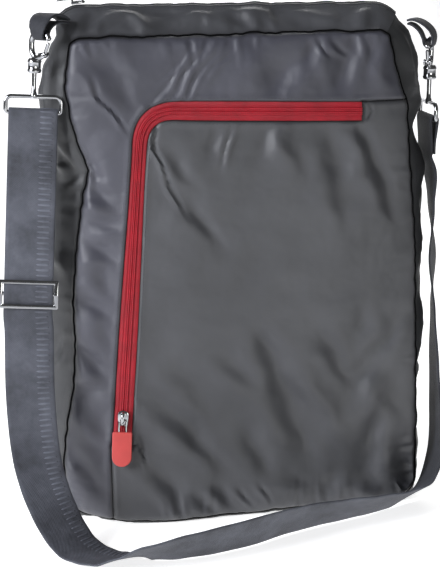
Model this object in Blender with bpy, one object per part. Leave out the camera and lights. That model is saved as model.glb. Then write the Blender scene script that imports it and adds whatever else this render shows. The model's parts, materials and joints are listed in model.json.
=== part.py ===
"""Laptop bag with a shoulder strap, standing upright on its base: Z up, the front panel toward -Y, metres.

The shell is a set of separate cloth panels with a gap at every seam, so the laptop space inside is open.
The strap is one band: it hangs from the left hook, runs along the floor and climbs to the right hook.
"""

import math

import bpy
from mathutils import Matrix, Vector
from mathutils.geometry import delaunay_2d_cdt

for old in list(bpy.data.objects):
    bpy.data.objects.remove(old)

MM = 0.001

# Bag body
SEAM_HEIGHT = 0.383
HALF_WIDTH = 0.1435
HALF_DEPTH = 0.0305
CROWN_FRONT = 0.0180
CROWN_BACK = 0.0080
BASE_LIFT = 0.0026
BASE_CORNER = 0.0210
TOP_CORNER = 0.0085
BOW_BACK = 0.0050
SIDE_BULGE = 0.0250
RIDGE_RISE = 0.0225
CLOTH = 0.0015
TAPE = 0.0012
GAP = 0.0004
MITRE_GAP = 0.00026
CELL = 0.0135
BACK_CELL = 0.0200

# Pocket zip on the front panel
ZIP_WIDTH = 0.0147
ZIP_TOP_RIGHT = Vector((0.0986, 0.3219))
ZIP_CORNER = Vector((-0.0718, 0.3277))
ZIP_BOTTOM = Vector((-0.0948, 0.0650))
ZIP_TURN = 0.040
POCKET_SEAM_RIGHT = 0.3292
POCKET_SEAM_BASE = -0.1036
COIL_RISE = 0.0013
ZIP_CALM = 0.0180

# Main zip on the ridge
RIDGE_FROM = 0.384
RIDGE_TO = 0.616
TAPE_FROM = 0.391

# Strap and its metal
STRAP_WIDTH = 0.0380
STRAP_THICK = 0.0015
RING_WIRE = 0.0017
RING_INSIDE = (0.0392, 0.0090)
CLAW_WIRE = 0.0022
CLAW_HALF = 0.0095

# Seam line of the front panel: share of the seam height, left and right edge as shares of the half width
FRONT_SEAM = (
    (0.00, 0.975, 1.000),
    (0.06, 0.972, 1.001),
    (0.12, 0.980, 1.000),
    (0.22, 0.945, 1.005),
    (0.30, 0.905, 1.002),
    (0.46, 0.895, 0.998),
    (0.58, 0.868, 0.992),
    (0.65, 0.842, 0.981),
    (0.735, 0.806, 0.965),
    (0.80, 0.852, 0.958),
    (0.86, 0.885, 0.945),
    (0.92, 0.897, 0.893),
    (1.00, 0.855, 0.848),
)

# Seam line of the back panel: share of the seam height, both edges
BACK_SEAM = (
    (0.00, 0.985, 0.985),
    (0.25, 0.960, 0.965),
    (0.60, 0.940, 0.950),
    (0.85, 0.915, 0.920),
    (1.00, 0.850, 0.850),
)

# How far the gusset stands out of its seams: share of the seam height, left and right as shares of the bulge
GUSSET = (
    (0.00, 0.64, 0.22),
    (0.10, 0.68, 0.25),
    (0.20, 0.70, 0.27),
    (0.40, 0.70, 0.46),
    (0.57, 0.76, 0.58),
    (0.65, 0.80, 0.65),
    (0.735, 0.74, 0.64),
    (0.80, 0.72, 0.50),
    (0.87, 0.78, 0.82),
    (0.94, 0.84, 1.04),
    (1.00, 0.60, 0.92),
)
CORNER_BULGE = (0.56, 0.66)
RIDGE_SHARE = (1.02, 0.84)

# How far the front stands forward at its base: share of the width from -1 to 1, then mm
BOW_FRONT = (
    (-1.00, 0.0),
    (-0.85, 15.0),
    (-0.70, 23.0),
    (-0.50, 25.0),
    (-0.30, 22.0),
    (-0.10, 17.0),
    (0.12, 14.0),
    (0.36, 7.0),
    (0.60, 3.0),
    (1.00, 0.0),
)

# Dents of the front: x and z share, half length, angle in degrees, half width in mm, depth in mm
FOLDS = (
    (-0.22, 0.88, 0.18, 128, 11, 4.5),
    (-0.40, 0.80, 0.10, 118, 10, 3.5),
    (0.10, 0.93, 0.10, 60, 9, 2.5),
    (0.62, 0.88, 0.14, 70, 12, 2.5),
    (-0.30, 0.62, 0.16, -60, 10, 3.0),
    (0.20, 0.72, 0.10, -110, 9, 2.5),
    (-0.78, 0.735, 0.06, 15, 14, 3.5),
    (-0.74, 0.45, 0.10, 35, 11, 2.5),
    (-0.72, 0.24, 0.12, -35, 12, 3.0),
    (0.55, 0.42, 0.20, -52, 14, 2.5),
    (0.70, 0.24, 0.14, 55, 13, 2.5),
    (-0.48, 0.15, 0.08, -60, 9, 2.5),
)

# Strap, from below the slide buckle to below the right ring, in three tables. X is a share of the half width
# and Y of the strap's reach to the front. Z is a share of the buckle's height in the first table, of the
# strap's width in the second and of the right ring's height in the third. The last three are the way across
STRAP_REACH = 0.1570
STRAP_LEFT = (
    (-1.1429, -0.3185, 0.8566, 1.00, 0.00, -0.03),
    (-1.1498, -0.3567, 0.6331, 1.00, 0.02, -0.03),
    (-1.1443, -0.3917, 0.4719, 0.99, 0.08, -0.06),
    (-1.1268, -0.4618, 0.3384, 0.97, 0.20, -0.03),
    (-1.0941, -0.5350, 0.2421, 0.95, 0.31, 0.05),
    (-1.0488, -0.6051, 0.1569, 0.89, 0.43, 0.11),
    (-0.9930, -0.6752, 0.0825, 0.83, 0.54, 0.13),
)
STRAP_FLOOR = (
    (-0.9303, -0.7516, 0.1684, 0.74, 0.66, 0.12),
    (-0.8537, -0.8344, 0.1053, 0.60, 0.80, 0.03),
    (-0.7700, -0.9076, 0.1263, 0.36, 0.93, -0.08),
    (-0.6829, -0.9650, 0.2263, 0.10, 0.94, -0.32),
    (-0.5645, -1.0000, 0.3421, -0.07, 0.81, -0.58),
    (-0.3763, -0.9803, 0.4053, -0.20, 0.66, -0.72),
    (-0.1742, -0.9191, 0.4316, -0.26, 0.57, -0.78),
    (0.0348, -0.8217, 0.4421, -0.30, 0.51, -0.80),
    (0.2648, -0.6847, 0.4316, -0.29, 0.58, -0.76),
    (0.4948, -0.5796, 0.4000, -0.25, 0.67, -0.70),
    (0.6969, -0.4968, 0.3684, -0.18, 0.75, -0.63),
    (0.8780, -0.3917, 0.3316, -0.12, 0.83, -0.54),
)
STRAP_RIGHT = (
    (1.0314, -0.2930, 0.0599, -0.12, 0.93, -0.33),
    (1.1164, -0.1943, 0.1277, -0.10, 0.98, -0.12),
    (1.1331, -0.1306, 0.2302, -0.04, 1.00, 0.00),
    (1.1317, -0.0955, 0.3563, 0.02, 1.00, 0.00),
    (1.1275, -0.0796, 0.4887, 0.12, 0.99, 0.00),
    (1.1247, -0.0701, 0.6275, 0.33, 0.94, 0.00),
    (1.1178, -0.0637, 0.7662, 0.08, 1.00, 0.00),
    (1.1108, -0.0605, 0.8513, -0.06, 0.99, 0.00),
)

# Hooks: centre of the wire at the top of the claw, turn of the claw about the vertical, its lean, and the
# turn of the ring
HOOKS = {
    "left": (Vector((-HALF_WIDTH - 0.0025, -0.0330, SEAM_HEIGHT + 0.0060)), -45.0, -3.6, -2.0),
    "right": (Vector((HALF_WIDTH + 0.0145, -0.0125, SEAM_HEIGHT - 0.0095)), -112.0, -2.0, 95.0),
}
# Tabs start on the shoulders: a little outside the ends of the front seam's top, and above it
TAB_BASES = {
    "left": Vector((-HALF_WIDTH * FRONT_SEAM[-1][1] - 0.0058, -0.0165, SEAM_HEIGHT + 0.0100)),
    "right": Vector((HALF_WIDTH * FRONT_SEAM[-1][2] + 0.0208, -0.0060, SEAM_HEIGHT + 0.0030)),
}
TAB_WIDTH = 0.0222
TAB_THICK = 0.0016
CHAIN_LENGTH = 0.1400
CHAIN_FORWARD = 6.0

HINGE_SHARE = 0.08
STEM_OFF = -0.0060
RING_DROP = 0.0563
# Corners of a ring: side in X and Z, first angle in degrees, bend radius
RING_CORNERS = ((1, 1, 0, 0.0048), (-1, 1, 90, 0.0048), (-1, -1, 180, 0.0021), (1, -1, 270, 0.0021))

# Claw below its round top, from the gate's side to the back: X and Z in mm in the plane of the claw
CLAW_PATH = ((1.6, -18.9), (-2.0, -20.3), (-6.0, -19.6), (-8.8, -16.0))
HINGE = (4.6, -17.6)
# Gate from its hinge to its tip, in mm from the hinge
GATE_PATH = ((0.0, 0.0), (1.8, 4.8), (3.9, 9.4))
# Barrel and swivel stem, turned about the stem's line: radius and Z in mm
BARREL = (
    (2.3, -32.0), (4.6, -32.0), (5.3, -30.5), (5.3, -22.5), (4.2, -20.5), (0.6, -20.5), (0.6, -24.4),
    (3.7, -24.4), (3.7, -28.0), (2.3, -28.0),
)
STEM = (
    (0.3, -51.5), (2.4, -51.5), (2.6, -48.0), (1.9, -46.5), (1.9, -28.6), (1.9, -27.6), (3.3, -27.6),
    (3.3, -24.9), (0.3, -24.9),
)
# Tab loops: share of the way from shoulder to claw, height over the claw's wire in mm, share of the width
TAB_PATH = {
    "left": (
        (0.00, 7.5, 0.68), (0.30, 10.5, 0.90), (0.60, 12.5, 1.00), (0.85, 11.5, 1.00), (1.03, 8.5, 0.95),
        (1.13, 4.5, 0.82), (1.16, -0.5, 0.64), (1.145, -3.6, 0.52), (1.08, -5.5, 0.47), (1.00, -6.2, 0.47),
        (0.92, -5.6, 0.47), (0.85, -3.4, 0.47), (0.80, 0.5, 0.50), (0.60, 5.0, 0.64), (0.30, 6.0, 0.72),
        (0.02, 5.0, 0.68),
    ),
    "right": (
        (0.00, 15.0, 0.68), (0.30, 15.5, 0.90), (0.60, 14.0, 1.00), (0.90, 10.8, 1.00), (1.13, 6.5, 0.95),
        (1.23, 1.5, 0.80), (1.22, -2.5, 0.60), (1.19, -4.4, 0.50), (1.10, -5.8, 0.47), (1.00, -6.2, 0.47),
        (0.90, -5.8, 0.47), (0.79, -3.8, 0.47), (0.73, 0.5, 0.50), (0.56, 6.5, 0.60), (0.28, 11.0, 0.68),
        (0.02, 12.5, 0.68),
    ),
}

NYLON = (0.075, 0.077, 0.084)
NYLON_SIDE = (0.045, 0.047, 0.051)
WEBBING = (0.105, 0.110, 0.130)
ZIP_RED = (0.360, 0.020, 0.032)
GRIP_RED = (0.680, 0.095, 0.085)
METAL = (0.800, 0.805, 0.820)
BLACK = (0.020, 0.021, 0.024)


# Reading the tables
def along(table, column, share):
    """A smooth value at this share, from the rows of a table whose first column is a share."""
    share = min(max(share, table[0][0]), table[-1][0])
    low = max(i for i in range(len(table) - 1) if table[i][0] <= share)
    spots = [row[0] for row in table]
    values = [row[column] for row in table]

    def slope(i):
        first, last = max(i - 1, 0), min(i + 1, len(table) - 1)
        return (values[last] - values[first]) / (spots[last] - spots[first])

    width = spots[low + 1] - spots[low]
    s = (share - spots[low]) / width
    hermite = (2 * s**3 - 3 * s**2 + 1) * values[low] + (3 * s**2 - 2 * s**3) * values[low + 1]
    return hermite + width * ((s**3 - 2 * s**2 + s) * slope(low) + (s**3 - s**2) * slope(low + 1))


def corner_inset(z):
    """How far a rounded corner draws the side edge in at this height."""
    up = BASE_CORNER - (z - BASE_LIFT)
    down = TOP_CORNER - (SEAM_HEIGHT - z)
    if up > 0:
        return BASE_CORNER - math.sqrt(max(BASE_CORNER**2 - up**2, 0.0))
    if down > 0:
        return TOP_CORNER - math.sqrt(max(TOP_CORNER**2 - down**2, 0.0))
    return 0.0


def side_edge(table, side, z):
    """X of the seam at this height: side is -1 for the left and 1 for the right."""
    column = 1 if side < 0 else 2
    clamped = min(max(z, BASE_LIFT + BASE_CORNER), SEAM_HEIGHT - TOP_CORNER)
    return side * (HALF_WIDTH * along(table, column, clamped / SEAM_HEIGHT) - corner_inset(z))


def panel_place(table, x, z):
    """Where a point lies across and up a panel, both from -1 to 1."""
    left, right = side_edge(table, -1, z), side_edge(table, 1, z)
    across = (2 * x - left - right) / (right - left)
    up = 2 * (z - BASE_LIFT) / (SEAM_HEIGHT - BASE_LIFT) - 1
    return max(-1.0, min(1.0, across)), max(-1.0, min(1.0, up))


# The pocket zip's line on the front
def zip_line():
    """Stations of the zip from its right end to its lower end: place and the way across to the outside."""
    level = (ZIP_CORNER - ZIP_TOP_RIGHT).normalized()
    down = (ZIP_BOTTOM - ZIP_CORNER).normalized()
    start = ZIP_CORNER - level * ZIP_TURN
    stop = ZIP_CORNER + down * ZIP_TURN
    places = [ZIP_TOP_RIGHT.lerp(start, i / 10) for i in range(10)]
    for i in range(9):
        s = i / 8
        places.append(start * (1 - s) ** 2 + ZIP_CORNER * 2 * s * (1 - s) + stop * s**2)
    places += [stop.lerp(ZIP_BOTTOM, i / 16) for i in range(1, 17)]
    line = []
    for i, spot in enumerate(places):
        run = places[min(i + 1, len(places) - 1)] - places[max(i - 1, 0)]
        run.normalize()
        line.append((spot, Vector((run.y, -run.x))))
    return line


ZIP = zip_line()
ZIP_SPOTS = [spot for spot, _ in ZIP]


def zip_edge(offset):
    """The zip's line moved sideways: a positive offset is toward the top and the left of the bag."""
    return [spot + out * offset for spot, out in ZIP]


# Surfaces of the front and the back
def away_from(point, line, closed=True):
    """The distance from a flat point to the nearest edge of a line of points."""
    nearest = 1.0
    for a, b in zip(line, line[1:] + line[:1] if closed else line[1:]):
        run = b - a
        share = max(0.0, min(1.0, (point - a).dot(run) / max(run.length_squared, 1e-12)))
        nearest = min(nearest, (point - a - run * share).length)
    return nearest


def fold_depth(x, z):
    """The sum of the dents at this point of the front, in metres."""
    total = 0.0
    for x_share, z_share, half, angle, width, depth in FOLDS:
        dx, dz = x - x_share * HALF_WIDTH, z - z_share * SEAM_HEIGHT
        c, s = math.cos(math.radians(angle)), math.sin(math.radians(angle))
        run, off = dx * c + dz * s, -dx * s + dz * c
        total += depth * MM * math.exp(-((off / (width * MM)) ** 2) - (run / (half * SEAM_HEIGHT)) ** 4)
    calm = away_from(Vector((x, z)), ZIP_SPOTS, closed=False) / ZIP_CALM
    return total * (1 - math.exp(-(calm**2)))


def pillow(across, up):
    return ((1 - abs(across) ** 3.2) * (1 - abs(up) ** 4.0)) ** 0.6


def front_y(x, z):
    across, up = panel_place(FRONT_SEAM, x, z)
    bow = along(BOW_FRONT, 1, across) * MM * math.exp(-(z - BASE_LIFT) / 0.045)
    puff = pillow(across, up)
    return -(HALF_DEPTH + bow + CROWN_FRONT * puff - fold_depth(x, z) * min(1.0, 1.6 * puff))


def back_y(x, z):
    across, up = panel_place(BACK_SEAM, x, z)
    bow = BOW_BACK * (1 - across**2) * math.exp(-(z - BASE_LIFT) / 0.045)
    return HALF_DEPTH + bow + CROWN_BACK * pillow(across, up)


def surface(height, side, x, z):
    """The point of a panel surface and its outward normal; side is -1 for the front and 1 for the back."""
    step = 0.0006
    slope_x = (height(x + step, z) - height(x - step, z)) / (2 * step)
    slope_z = (height(x, z + step) - height(x, z - step)) / (2 * step)
    return Vector((x, height(x, z), z)), Vector((-side * slope_x, side, -side * slope_z)).normalized()


# The ring of seam stations
def spread(start, stop, step):
    count = max(1, round(abs(stop - start) / step))
    return [start + (stop - start) * i / count for i in range(count + 1)]


def corner_arc(centre_x, centre_z, radius, angles):
    return [
        Vector((centre_x + radius * math.cos(math.radians(a)), centre_z + radius * math.sin(math.radians(a))))
        for a in angles
    ]


def seam_ring(table):
    """Seam points in X and Z: down the left side, along the base, up the right side, back along the top."""
    low, high = BASE_LIFT + BASE_CORNER, SEAM_HEIGHT - TOP_CORNER
    heights = spread(low, POCKET_SEAM_RIGHT, 0.0165) + spread(POCKET_SEAM_RIGHT, high, 0.0150)[1:]
    left_x, right_x = side_edge(table, -1, low), side_edge(table, 1, low)
    left_top, right_top = side_edge(table, -1, high), side_edge(table, 1, high)
    left = [Vector((side_edge(table, -1, z), z)) for z in reversed(heights)]
    right = [Vector((side_edge(table, 1, z), z)) for z in heights]
    base = spread(left_x + BASE_CORNER, POCKET_SEAM_BASE, 0.0150)
    base += spread(POCKET_SEAM_BASE, right_x - BASE_CORNER, 0.0170)[1:]
    tops = spread(right_top - TOP_CORNER, left_top + TOP_CORNER, 0.0165)
    ring = list(left)
    ring += corner_arc(left_x + BASE_CORNER, low, BASE_CORNER, (202.5, 225, 247.5))
    ring += [Vector((x, BASE_LIFT)) for x in base]
    ring += corner_arc(right_x - BASE_CORNER, low, BASE_CORNER, (292.5, 315, 337.5))
    ring += right
    ring += corner_arc(right_top - TOP_CORNER, high, TOP_CORNER, (22.5, 45, 67.5))
    ring += [Vector((x, SEAM_HEIGHT)) for x in tops]
    ring += corner_arc(left_top + TOP_CORNER, high, TOP_CORNER, (112.5, 135, 157.5))
    marks = {"left": 0, "base": len(left) + 3, "right": len(left) + 6 + len(base)}
    marks["top"] = marks["right"] + len(right)
    marks["end"] = len(ring)
    return ring, marks


FRONT_RING, MARKS = seam_ring(FRONT_SEAM)
BACK_RING, _ = seam_ring(BACK_SEAM)
COUNT = len(FRONT_RING)
RIGHT_SHOULDER = MARKS["top"] + 1
LEFT_SHOULDER = COUNT - 2


def ring_normal(index):
    """The way out of the bag in X and Z at a seam station."""
    before = FRONT_RING[(index - 1) % COUNT] + BACK_RING[(index - 1) % COUNT]
    after = FRONT_RING[(index + 1) % COUNT] + BACK_RING[(index + 1) % COUNT]
    run = (after - before).normalized()
    return Vector((run.y, -run.x))


def ring_bulge(index):
    """How far the gusset stands out at a station, how roof-like it is and how flat."""
    point = FRONT_RING[index % COUNT]
    normal = ring_normal(index)
    column = 1 if point.x < 0 else 2
    side = SIDE_BULGE * along(GUSSET, column, point.y / SEAM_HEIGHT)
    across = (point.x / HALF_WIDTH + 1) / 2
    top = RIDGE_RISE * (RIDGE_SHARE[0] + (RIDGE_SHARE[1] - RIDGE_SHARE[0]) * across)
    corner = SIDE_BULGE * CORNER_BULGE[column - 1]
    if normal.y < 0:
        share = min(1.0, -normal.y * 1.15)
        return side * (1 - share) + (BASE_LIFT + 0.004) * share, 0.0, share
    share = min(1.0, normal.y)
    tip = corner * (1 - abs(2 * share - 1)) + abs(2 * share - 1) * (top if share > 0.5 else side)
    return tip, share, 0.0


def gusset_rise(t, roof, flat):
    """The cross profile of the gusset from the front seam at 0 to the back seam at 1."""
    edge = min(t, 1 - t)
    round_side = math.sin(math.pi * t) ** 0.75
    ridge = min(1.0, edge / RIDGE_FROM) ** 0.85
    floor = min(1.0, edge / 0.07)
    return round_side * (1 - roof - flat) + ridge * roof + floor * flat


def ring_point(index, t):
    """A point of the gusset surface at a station and a share of the depth."""
    index = index % COUNT
    low = int(math.floor(index))
    part = index - low
    if part > 1e-6:
        return ring_point(low, t).lerp(ring_point(low + 1, t), part)
    front, back = FRONT_RING[low], BACK_RING[low]
    bulge, roof, flat = ring_bulge(low)
    normal = ring_normal(low)
    spot = front.lerp(back, t) + normal * bulge * gusset_rise(t, roof, flat)
    y = front_y(front.x, front.y) * (1 - t) + back_y(back.x, back.y) * t
    return Vector((spot.x, y, max(0.0, spot.y)))


def ring_frame(index, t):
    """The gusset point with its way along the ring, its way back and its outward normal."""
    run = ring_point(index + 0.5, t) - ring_point(index - 0.5, t)
    back = ring_point(index, min(1.0, t + 0.02)) - ring_point(index, max(0.0, t - 0.02))
    normal = run.cross(back).normalized()
    away = ring_normal(int(round(index)))
    if normal.x * away.x + normal.z * away.y < 0:
        normal.negate()
    return ring_point(index, t), run.normalized(), back.normalized(), normal


# Making one closed body
def material(name, colour, roughness=0.6, metallic=0.0):
    made = bpy.data.materials.new(name + "_material")
    made.use_nodes = True
    shader = made.node_tree.nodes["Principled BSDF"]
    shader.inputs["Base Color"].default_value = (*colour, 1.0)
    shader.inputs["Roughness"].default_value = roughness
    shader.inputs["Metallic"].default_value = metallic
    return made


def body(name, points, faces, look=None):
    """A mesh object that faces out, with its own material."""
    volume = 0.0
    for face in faces:
        for i in range(1, len(face) - 1):
            a, b, c = points[face[0]], points[face[i]], points[face[i + 1]]
            volume += a.dot(b.cross(c))
    if volume < 0:
        faces = [tuple(reversed(face)) for face in faces]
    mesh = bpy.data.meshes.new(name)
    mesh.from_pydata([tuple(point) for point in points], [], faces)
    mesh.update()
    made = bpy.data.objects.new(name, mesh)
    bpy.context.scene.collection.objects.link(made)
    if look:
        made.data.materials.append(material(name, *look))
    return made


def sheet(name, outer, inner, faces, loop, look):
    """A thick cloth piece from its outer and inner skins and the loop of points round its edge."""
    count = len(outer)
    whole = list(faces) + [tuple(i + count for i in reversed(face)) for face in faces]
    for here, there in zip(loop, loop[1:] + loop[:1]):
        whole.append((there, here, here + count, there + count))
    return body(name, outer + inner, whole, look)


def grid_faces(rows, columns):
    return [
        (r * columns + c, r * columns + c + 1, (r + 1) * columns + c + 1, (r + 1) * columns + c)
        for r in range(rows - 1)
        for c in range(columns - 1)
    ]


def grid_loop(rows, columns):
    bottom = [c for c in range(columns)]
    right = [r * columns + columns - 1 for r in range(1, rows)]
    top = [(rows - 1) * columns + c for c in range(columns - 2, -1, -1)]
    left = [r * columns for r in range(rows - 2, 0, -1)]
    return bottom + right + top + left


def grid_sheet(name, outer_rows, inner_rows, look):
    rows, columns = len(outer_rows), len(outer_rows[0])
    outer = [point for row in outer_rows for point in row]
    inner = [point for row in inner_rows for point in row]
    return sheet(name, outer, inner, grid_faces(rows, columns), grid_loop(rows, columns), look)


def tube(points, sections, closed):
    """Faces of a tube through sections of equal length."""
    count, sides = len(sections), len(sections[0])
    faces = []
    for i in range(count if closed else count - 1):
        a, b = sections[i], sections[(i + 1) % count]
        for k in range(sides):
            j = (k + 1) % sides
            faces.append((a[k], a[j], b[j], b[k]))
    if not closed:
        faces.append(tuple(reversed(sections[0])))
        faces.append(tuple(sections[-1]))
    return faces


def sweep(name, path, axis, radius, sides=8, closed=False, flat=1.0, look=None):
    """A round wire along a path that keeps to a plane whose normal is axis."""
    points, sections = [], []
    count = len(path)
    for i, place in enumerate(path):
        before = path[(i - 1) % count] if closed or i else path[0]
        after = path[(i + 1) % count] if closed or i < count - 1 else path[-1]
        run = (after - before).normalized()
        out = run.cross(axis).normalized()
        section = []
        for k in range(sides):
            angle = 2 * math.pi * (k + 0.5) / sides
            section.append(len(points))
            points.append(place + out * radius * math.cos(angle) + axis * radius * flat * math.sin(angle))
        sections.append(section)
    return body(name, points, tube(points, sections, closed), look)


def turned(name, profile, sides=12, look=None):
    """A closed profile of radius and height turned about Z."""
    points, sections = [], []
    for k in range(sides):
        angle = 2 * math.pi * k / sides
        section = []
        for radius, height in profile:
            section.append(len(points))
            points.append(Vector((radius * math.cos(angle), radius * math.sin(angle), height)))
        sections.append(section)
    return body(name, points, tube(points, sections, True), look)


def prism(name, outline, low, high, look=None):
    """A flat outline in X and Z between two values of Y."""
    count = len(outline)
    points = [Vector((x, low, z)) for x, z in outline] + [Vector((x, high, z)) for x, z in outline]
    faces = [tuple(reversed(range(count))), tuple(range(count, 2 * count))]
    faces += [(i, (i + 1) % count, (i + 1) % count + count, i + count) for i in range(count)]
    return body(name, points, faces, look)


def boolean(target, tool, operation):
    tool.hide_render = True
    tool.display_type = "WIRE"
    step = target.modifiers.new(operation.lower(), "BOOLEAN")
    step.operation = operation
    step.solver = "EXACT"
    step.object = tool


def place(matrix, *objects):
    for made in objects:
        made.matrix_world = matrix


# Flat outlines filled with triangles
def inside(point, outline):
    within = False
    for a, b in zip(outline, outline[1:] + outline[:1]):
        if (a.y > point.y) != (b.y > point.y):
            if point.x < (b.x - a.x) * (point.y - a.y) / (b.y - a.y) + a.x:
                within = not within
    return within


def filled(outline, table, cell):
    """An outline filled with triangles over a net of inner points: the outline's points come first."""
    levels = [0.009, 0.020] + spread(0.033, SEAM_HEIGHT - 0.024, cell) + [SEAM_HEIGHT - 0.011]
    shares = [0.025, 0.075] + spread(0.13, 0.87, cell * 3.85) + [0.925, 0.975]
    net = []
    for z in levels:
        left, right = side_edge(table, -1, z), side_edge(table, 1, z)
        for share in shares:
            point = Vector((left + (right - left) * share, z))
            if inside(point, outline) and away_from(point, outline) > 0.0042:
                net.append(point)
    count = len(outline)
    edges = [(i, (i + 1) % count) for i in range(count)]
    result = delaunay_2d_cdt(outline + net, edges, [], 1, 1e-7)
    if len(result[0]) != count + len(net):
        raise ValueError("the outline has points that coincide")
    return outline + net, [tuple(face) for face in result[2]]


def edge_direction(outline_point, ring, side):
    """The way into the bag at the seam, half toward the middle of the panel and half along Y."""
    index = min(range(COUNT), key=lambda i: (ring[i] - outline_point).length)
    normal = ring_normal(index)
    return Vector((-normal.x, -side, -normal.y)), normal


def panel(name, outline, on_seam, height, table, ring, side, cell):
    """A panel of the front or the back: on_seam marks the outline points that lie on the seam ring."""
    flat, faces = filled(outline, table, cell)
    outer, inner = [], []
    for i, spot in enumerate(flat):
        seam = i < len(outline) and on_seam[i]
        point, normal = surface(height, side, spot.x, spot.y)
        if seam:
            into, away = edge_direction(spot, ring, side)
            point = Vector((spot.x, height(spot.x, spot.y), spot.y))
            point -= Vector((away.x, 0, away.y)) * MITRE_GAP
            outer.append(point)
            inner.append(point + into * CLOTH)
        else:
            outer.append(point)
            inner.append(point - normal * CLOTH)
    return sheet(name, outer, inner, faces, list(range(len(outline))), (NYLON, 0.42))


def ring_part(ring, first, last):
    return [ring[i % COUNT].copy() for i in range(first, last + 1)]


def station_near(ring, first, last, value, key):
    return min(range(first, last), key=lambda i: abs(key(ring[i % COUNT]) - value))


SEAM_STATION_RIGHT = station_near(FRONT_RING, MARKS["right"], MARKS["top"], POCKET_SEAM_RIGHT, lambda p: p.y)
MAIN_SLIDER_STATION = station_near(FRONT_RING, MARKS["top"] + 3, COUNT - 3, -0.108, lambda p: p.x)
SEAM_STATION_BASE = station_near(FRONT_RING, MARKS["base"], MARKS["right"], POCKET_SEAM_BASE, lambda p: p.x)


def build_front():
    """The yoke above and left of the zip, and the pocket panel below and right of it."""
    half = ZIP_WIDTH / 2
    right_seam, base_seam = FRONT_RING[SEAM_STATION_RIGHT], FRONT_RING[SEAM_STATION_BASE]
    outside = zip_edge(half + GAP / 2)
    step_up = Vector((0, GAP / 2))
    step_left = Vector((-GAP / 2, 0))
    from_right = spread(right_seam.x, outside[0].x, 0.013)[1:-1]
    to_base = spread(outside[-1].y, base_seam.y, 0.014)

    def rise(x):
        share = (right_seam.x - x) / (right_seam.x - outside[0].x)
        return right_seam.y + (outside[0].y - right_seam.y) * share

    seam = [right_seam + step_up]
    seam += ring_part(FRONT_RING, SEAM_STATION_RIGHT + 1, COUNT + SEAM_STATION_BASE - 1)
    seam += [base_seam + step_left]
    inner = [Vector((POCKET_SEAM_BASE - GAP / 2, z)) for z in reversed(to_base[1:-1])]
    inner += list(reversed(outside))
    inner += [Vector((x, rise(x) + GAP / 2)) for x in reversed(from_right)]
    marks = [True] * len(seam) + [False] * len(inner)
    panel("front_yoke", seam + inner, marks, front_y, FRONT_SEAM, FRONT_RING, -1, CELL)

    below = zip_edge(-half - GAP / 2)
    seam = [base_seam - step_left] + ring_part(FRONT_RING, SEAM_STATION_BASE + 1, SEAM_STATION_RIGHT - 1)
    seam += [right_seam - step_up]
    inner = [Vector((x, rise(x) - GAP / 2)) for x in from_right]
    inner += [Vector((outside[0].x + GAP, outside[0].y - GAP))]
    inner += [Vector((below[0].x + GAP, below[0].y))] + below[1:-1]
    inner += [Vector((below[-1].x, below[-1].y - GAP))]
    inner += [Vector((outside[-1].x + GAP, outside[-1].y - GAP))]
    inner += [Vector((POCKET_SEAM_BASE + GAP / 2, z)) for z in to_base[1:-1]]
    marks = [True] * len(seam) + [False] * len(inner)
    panel("pocket_panel", seam + inner, marks, front_y, FRONT_SEAM, FRONT_RING, -1, CELL)


def build_back():
    outline = ring_part(BACK_RING, 0, COUNT - 1)
    panel("back_panel", outline, [True] * COUNT, back_y, BACK_SEAM, BACK_RING, 1, BACK_CELL)


def build_pocket_zip():
    """The pocket zip: two tape edges with the closed coil standing along the middle."""
    half = ZIP_WIDTH / 2 - GAP / 2
    offsets = (-half, -0.0026, -0.0019, 0.0019, 0.0026, half)
    rises = (0.0, 0.0, COIL_RISE, COIL_RISE, 0.0, 0.0)
    outer_rows, inner_rows = [], []
    for spot, out in ZIP:
        outer, inner = [], []
        for offset, rise in zip(offsets, rises):
            flat = spot + out * offset
            point, normal = surface(front_y, -1, flat.x, flat.y)
            outer.append(point + normal * rise)
            inner.append(point - normal * TAPE)
        outer_rows.append(outer)
        inner_rows.append(inner)
    grid_sheet("pocket_zip_tape", outer_rows, inner_rows, (ZIP_RED, 0.55))


# Gusset and top
def gusset_rows(first, last, shares, rises, thick, first_shift, last_shift):
    """Outer and inner points of a stretch of the gusset between two stations."""
    outer_rows, inner_rows = [], []
    for index in range(first, last + 1):
        shift = first_shift if index == first else last_shift if index == last else 0.0
        outer, inner = [], []
        for t, rise in zip(shares, rises):
            point, run, back, normal = ring_frame(index, t)
            point = point + run * shift
            if t in (0.0, 1.0):
                side = -1 if t == 0.0 else 1
                away = ring_normal(index)
                point.y -= side * MITRE_GAP
                inward = Vector((-away.x, -side, -away.y)) * thick
            else:
                inward = -normal * thick
            outer.append(point + normal * rise)
            inner.append(point + inward)
        outer_rows.append(outer)
        inner_rows.append(inner)
    return outer_rows, inner_rows


def build_gusset():
    shares = (0.0, 0.07, 0.20, 0.38, 0.62, 0.80, 0.93, 1.0)
    flat = (0.0,) * len(shares)
    rows = gusset_rows(LEFT_SHOULDER, COUNT + RIGHT_SHOULDER, shares, flat, CLOTH, GAP / 2, -GAP / 2)
    grid_sheet("side_gusset", *rows, (NYLON_SIDE, 0.45))


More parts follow.
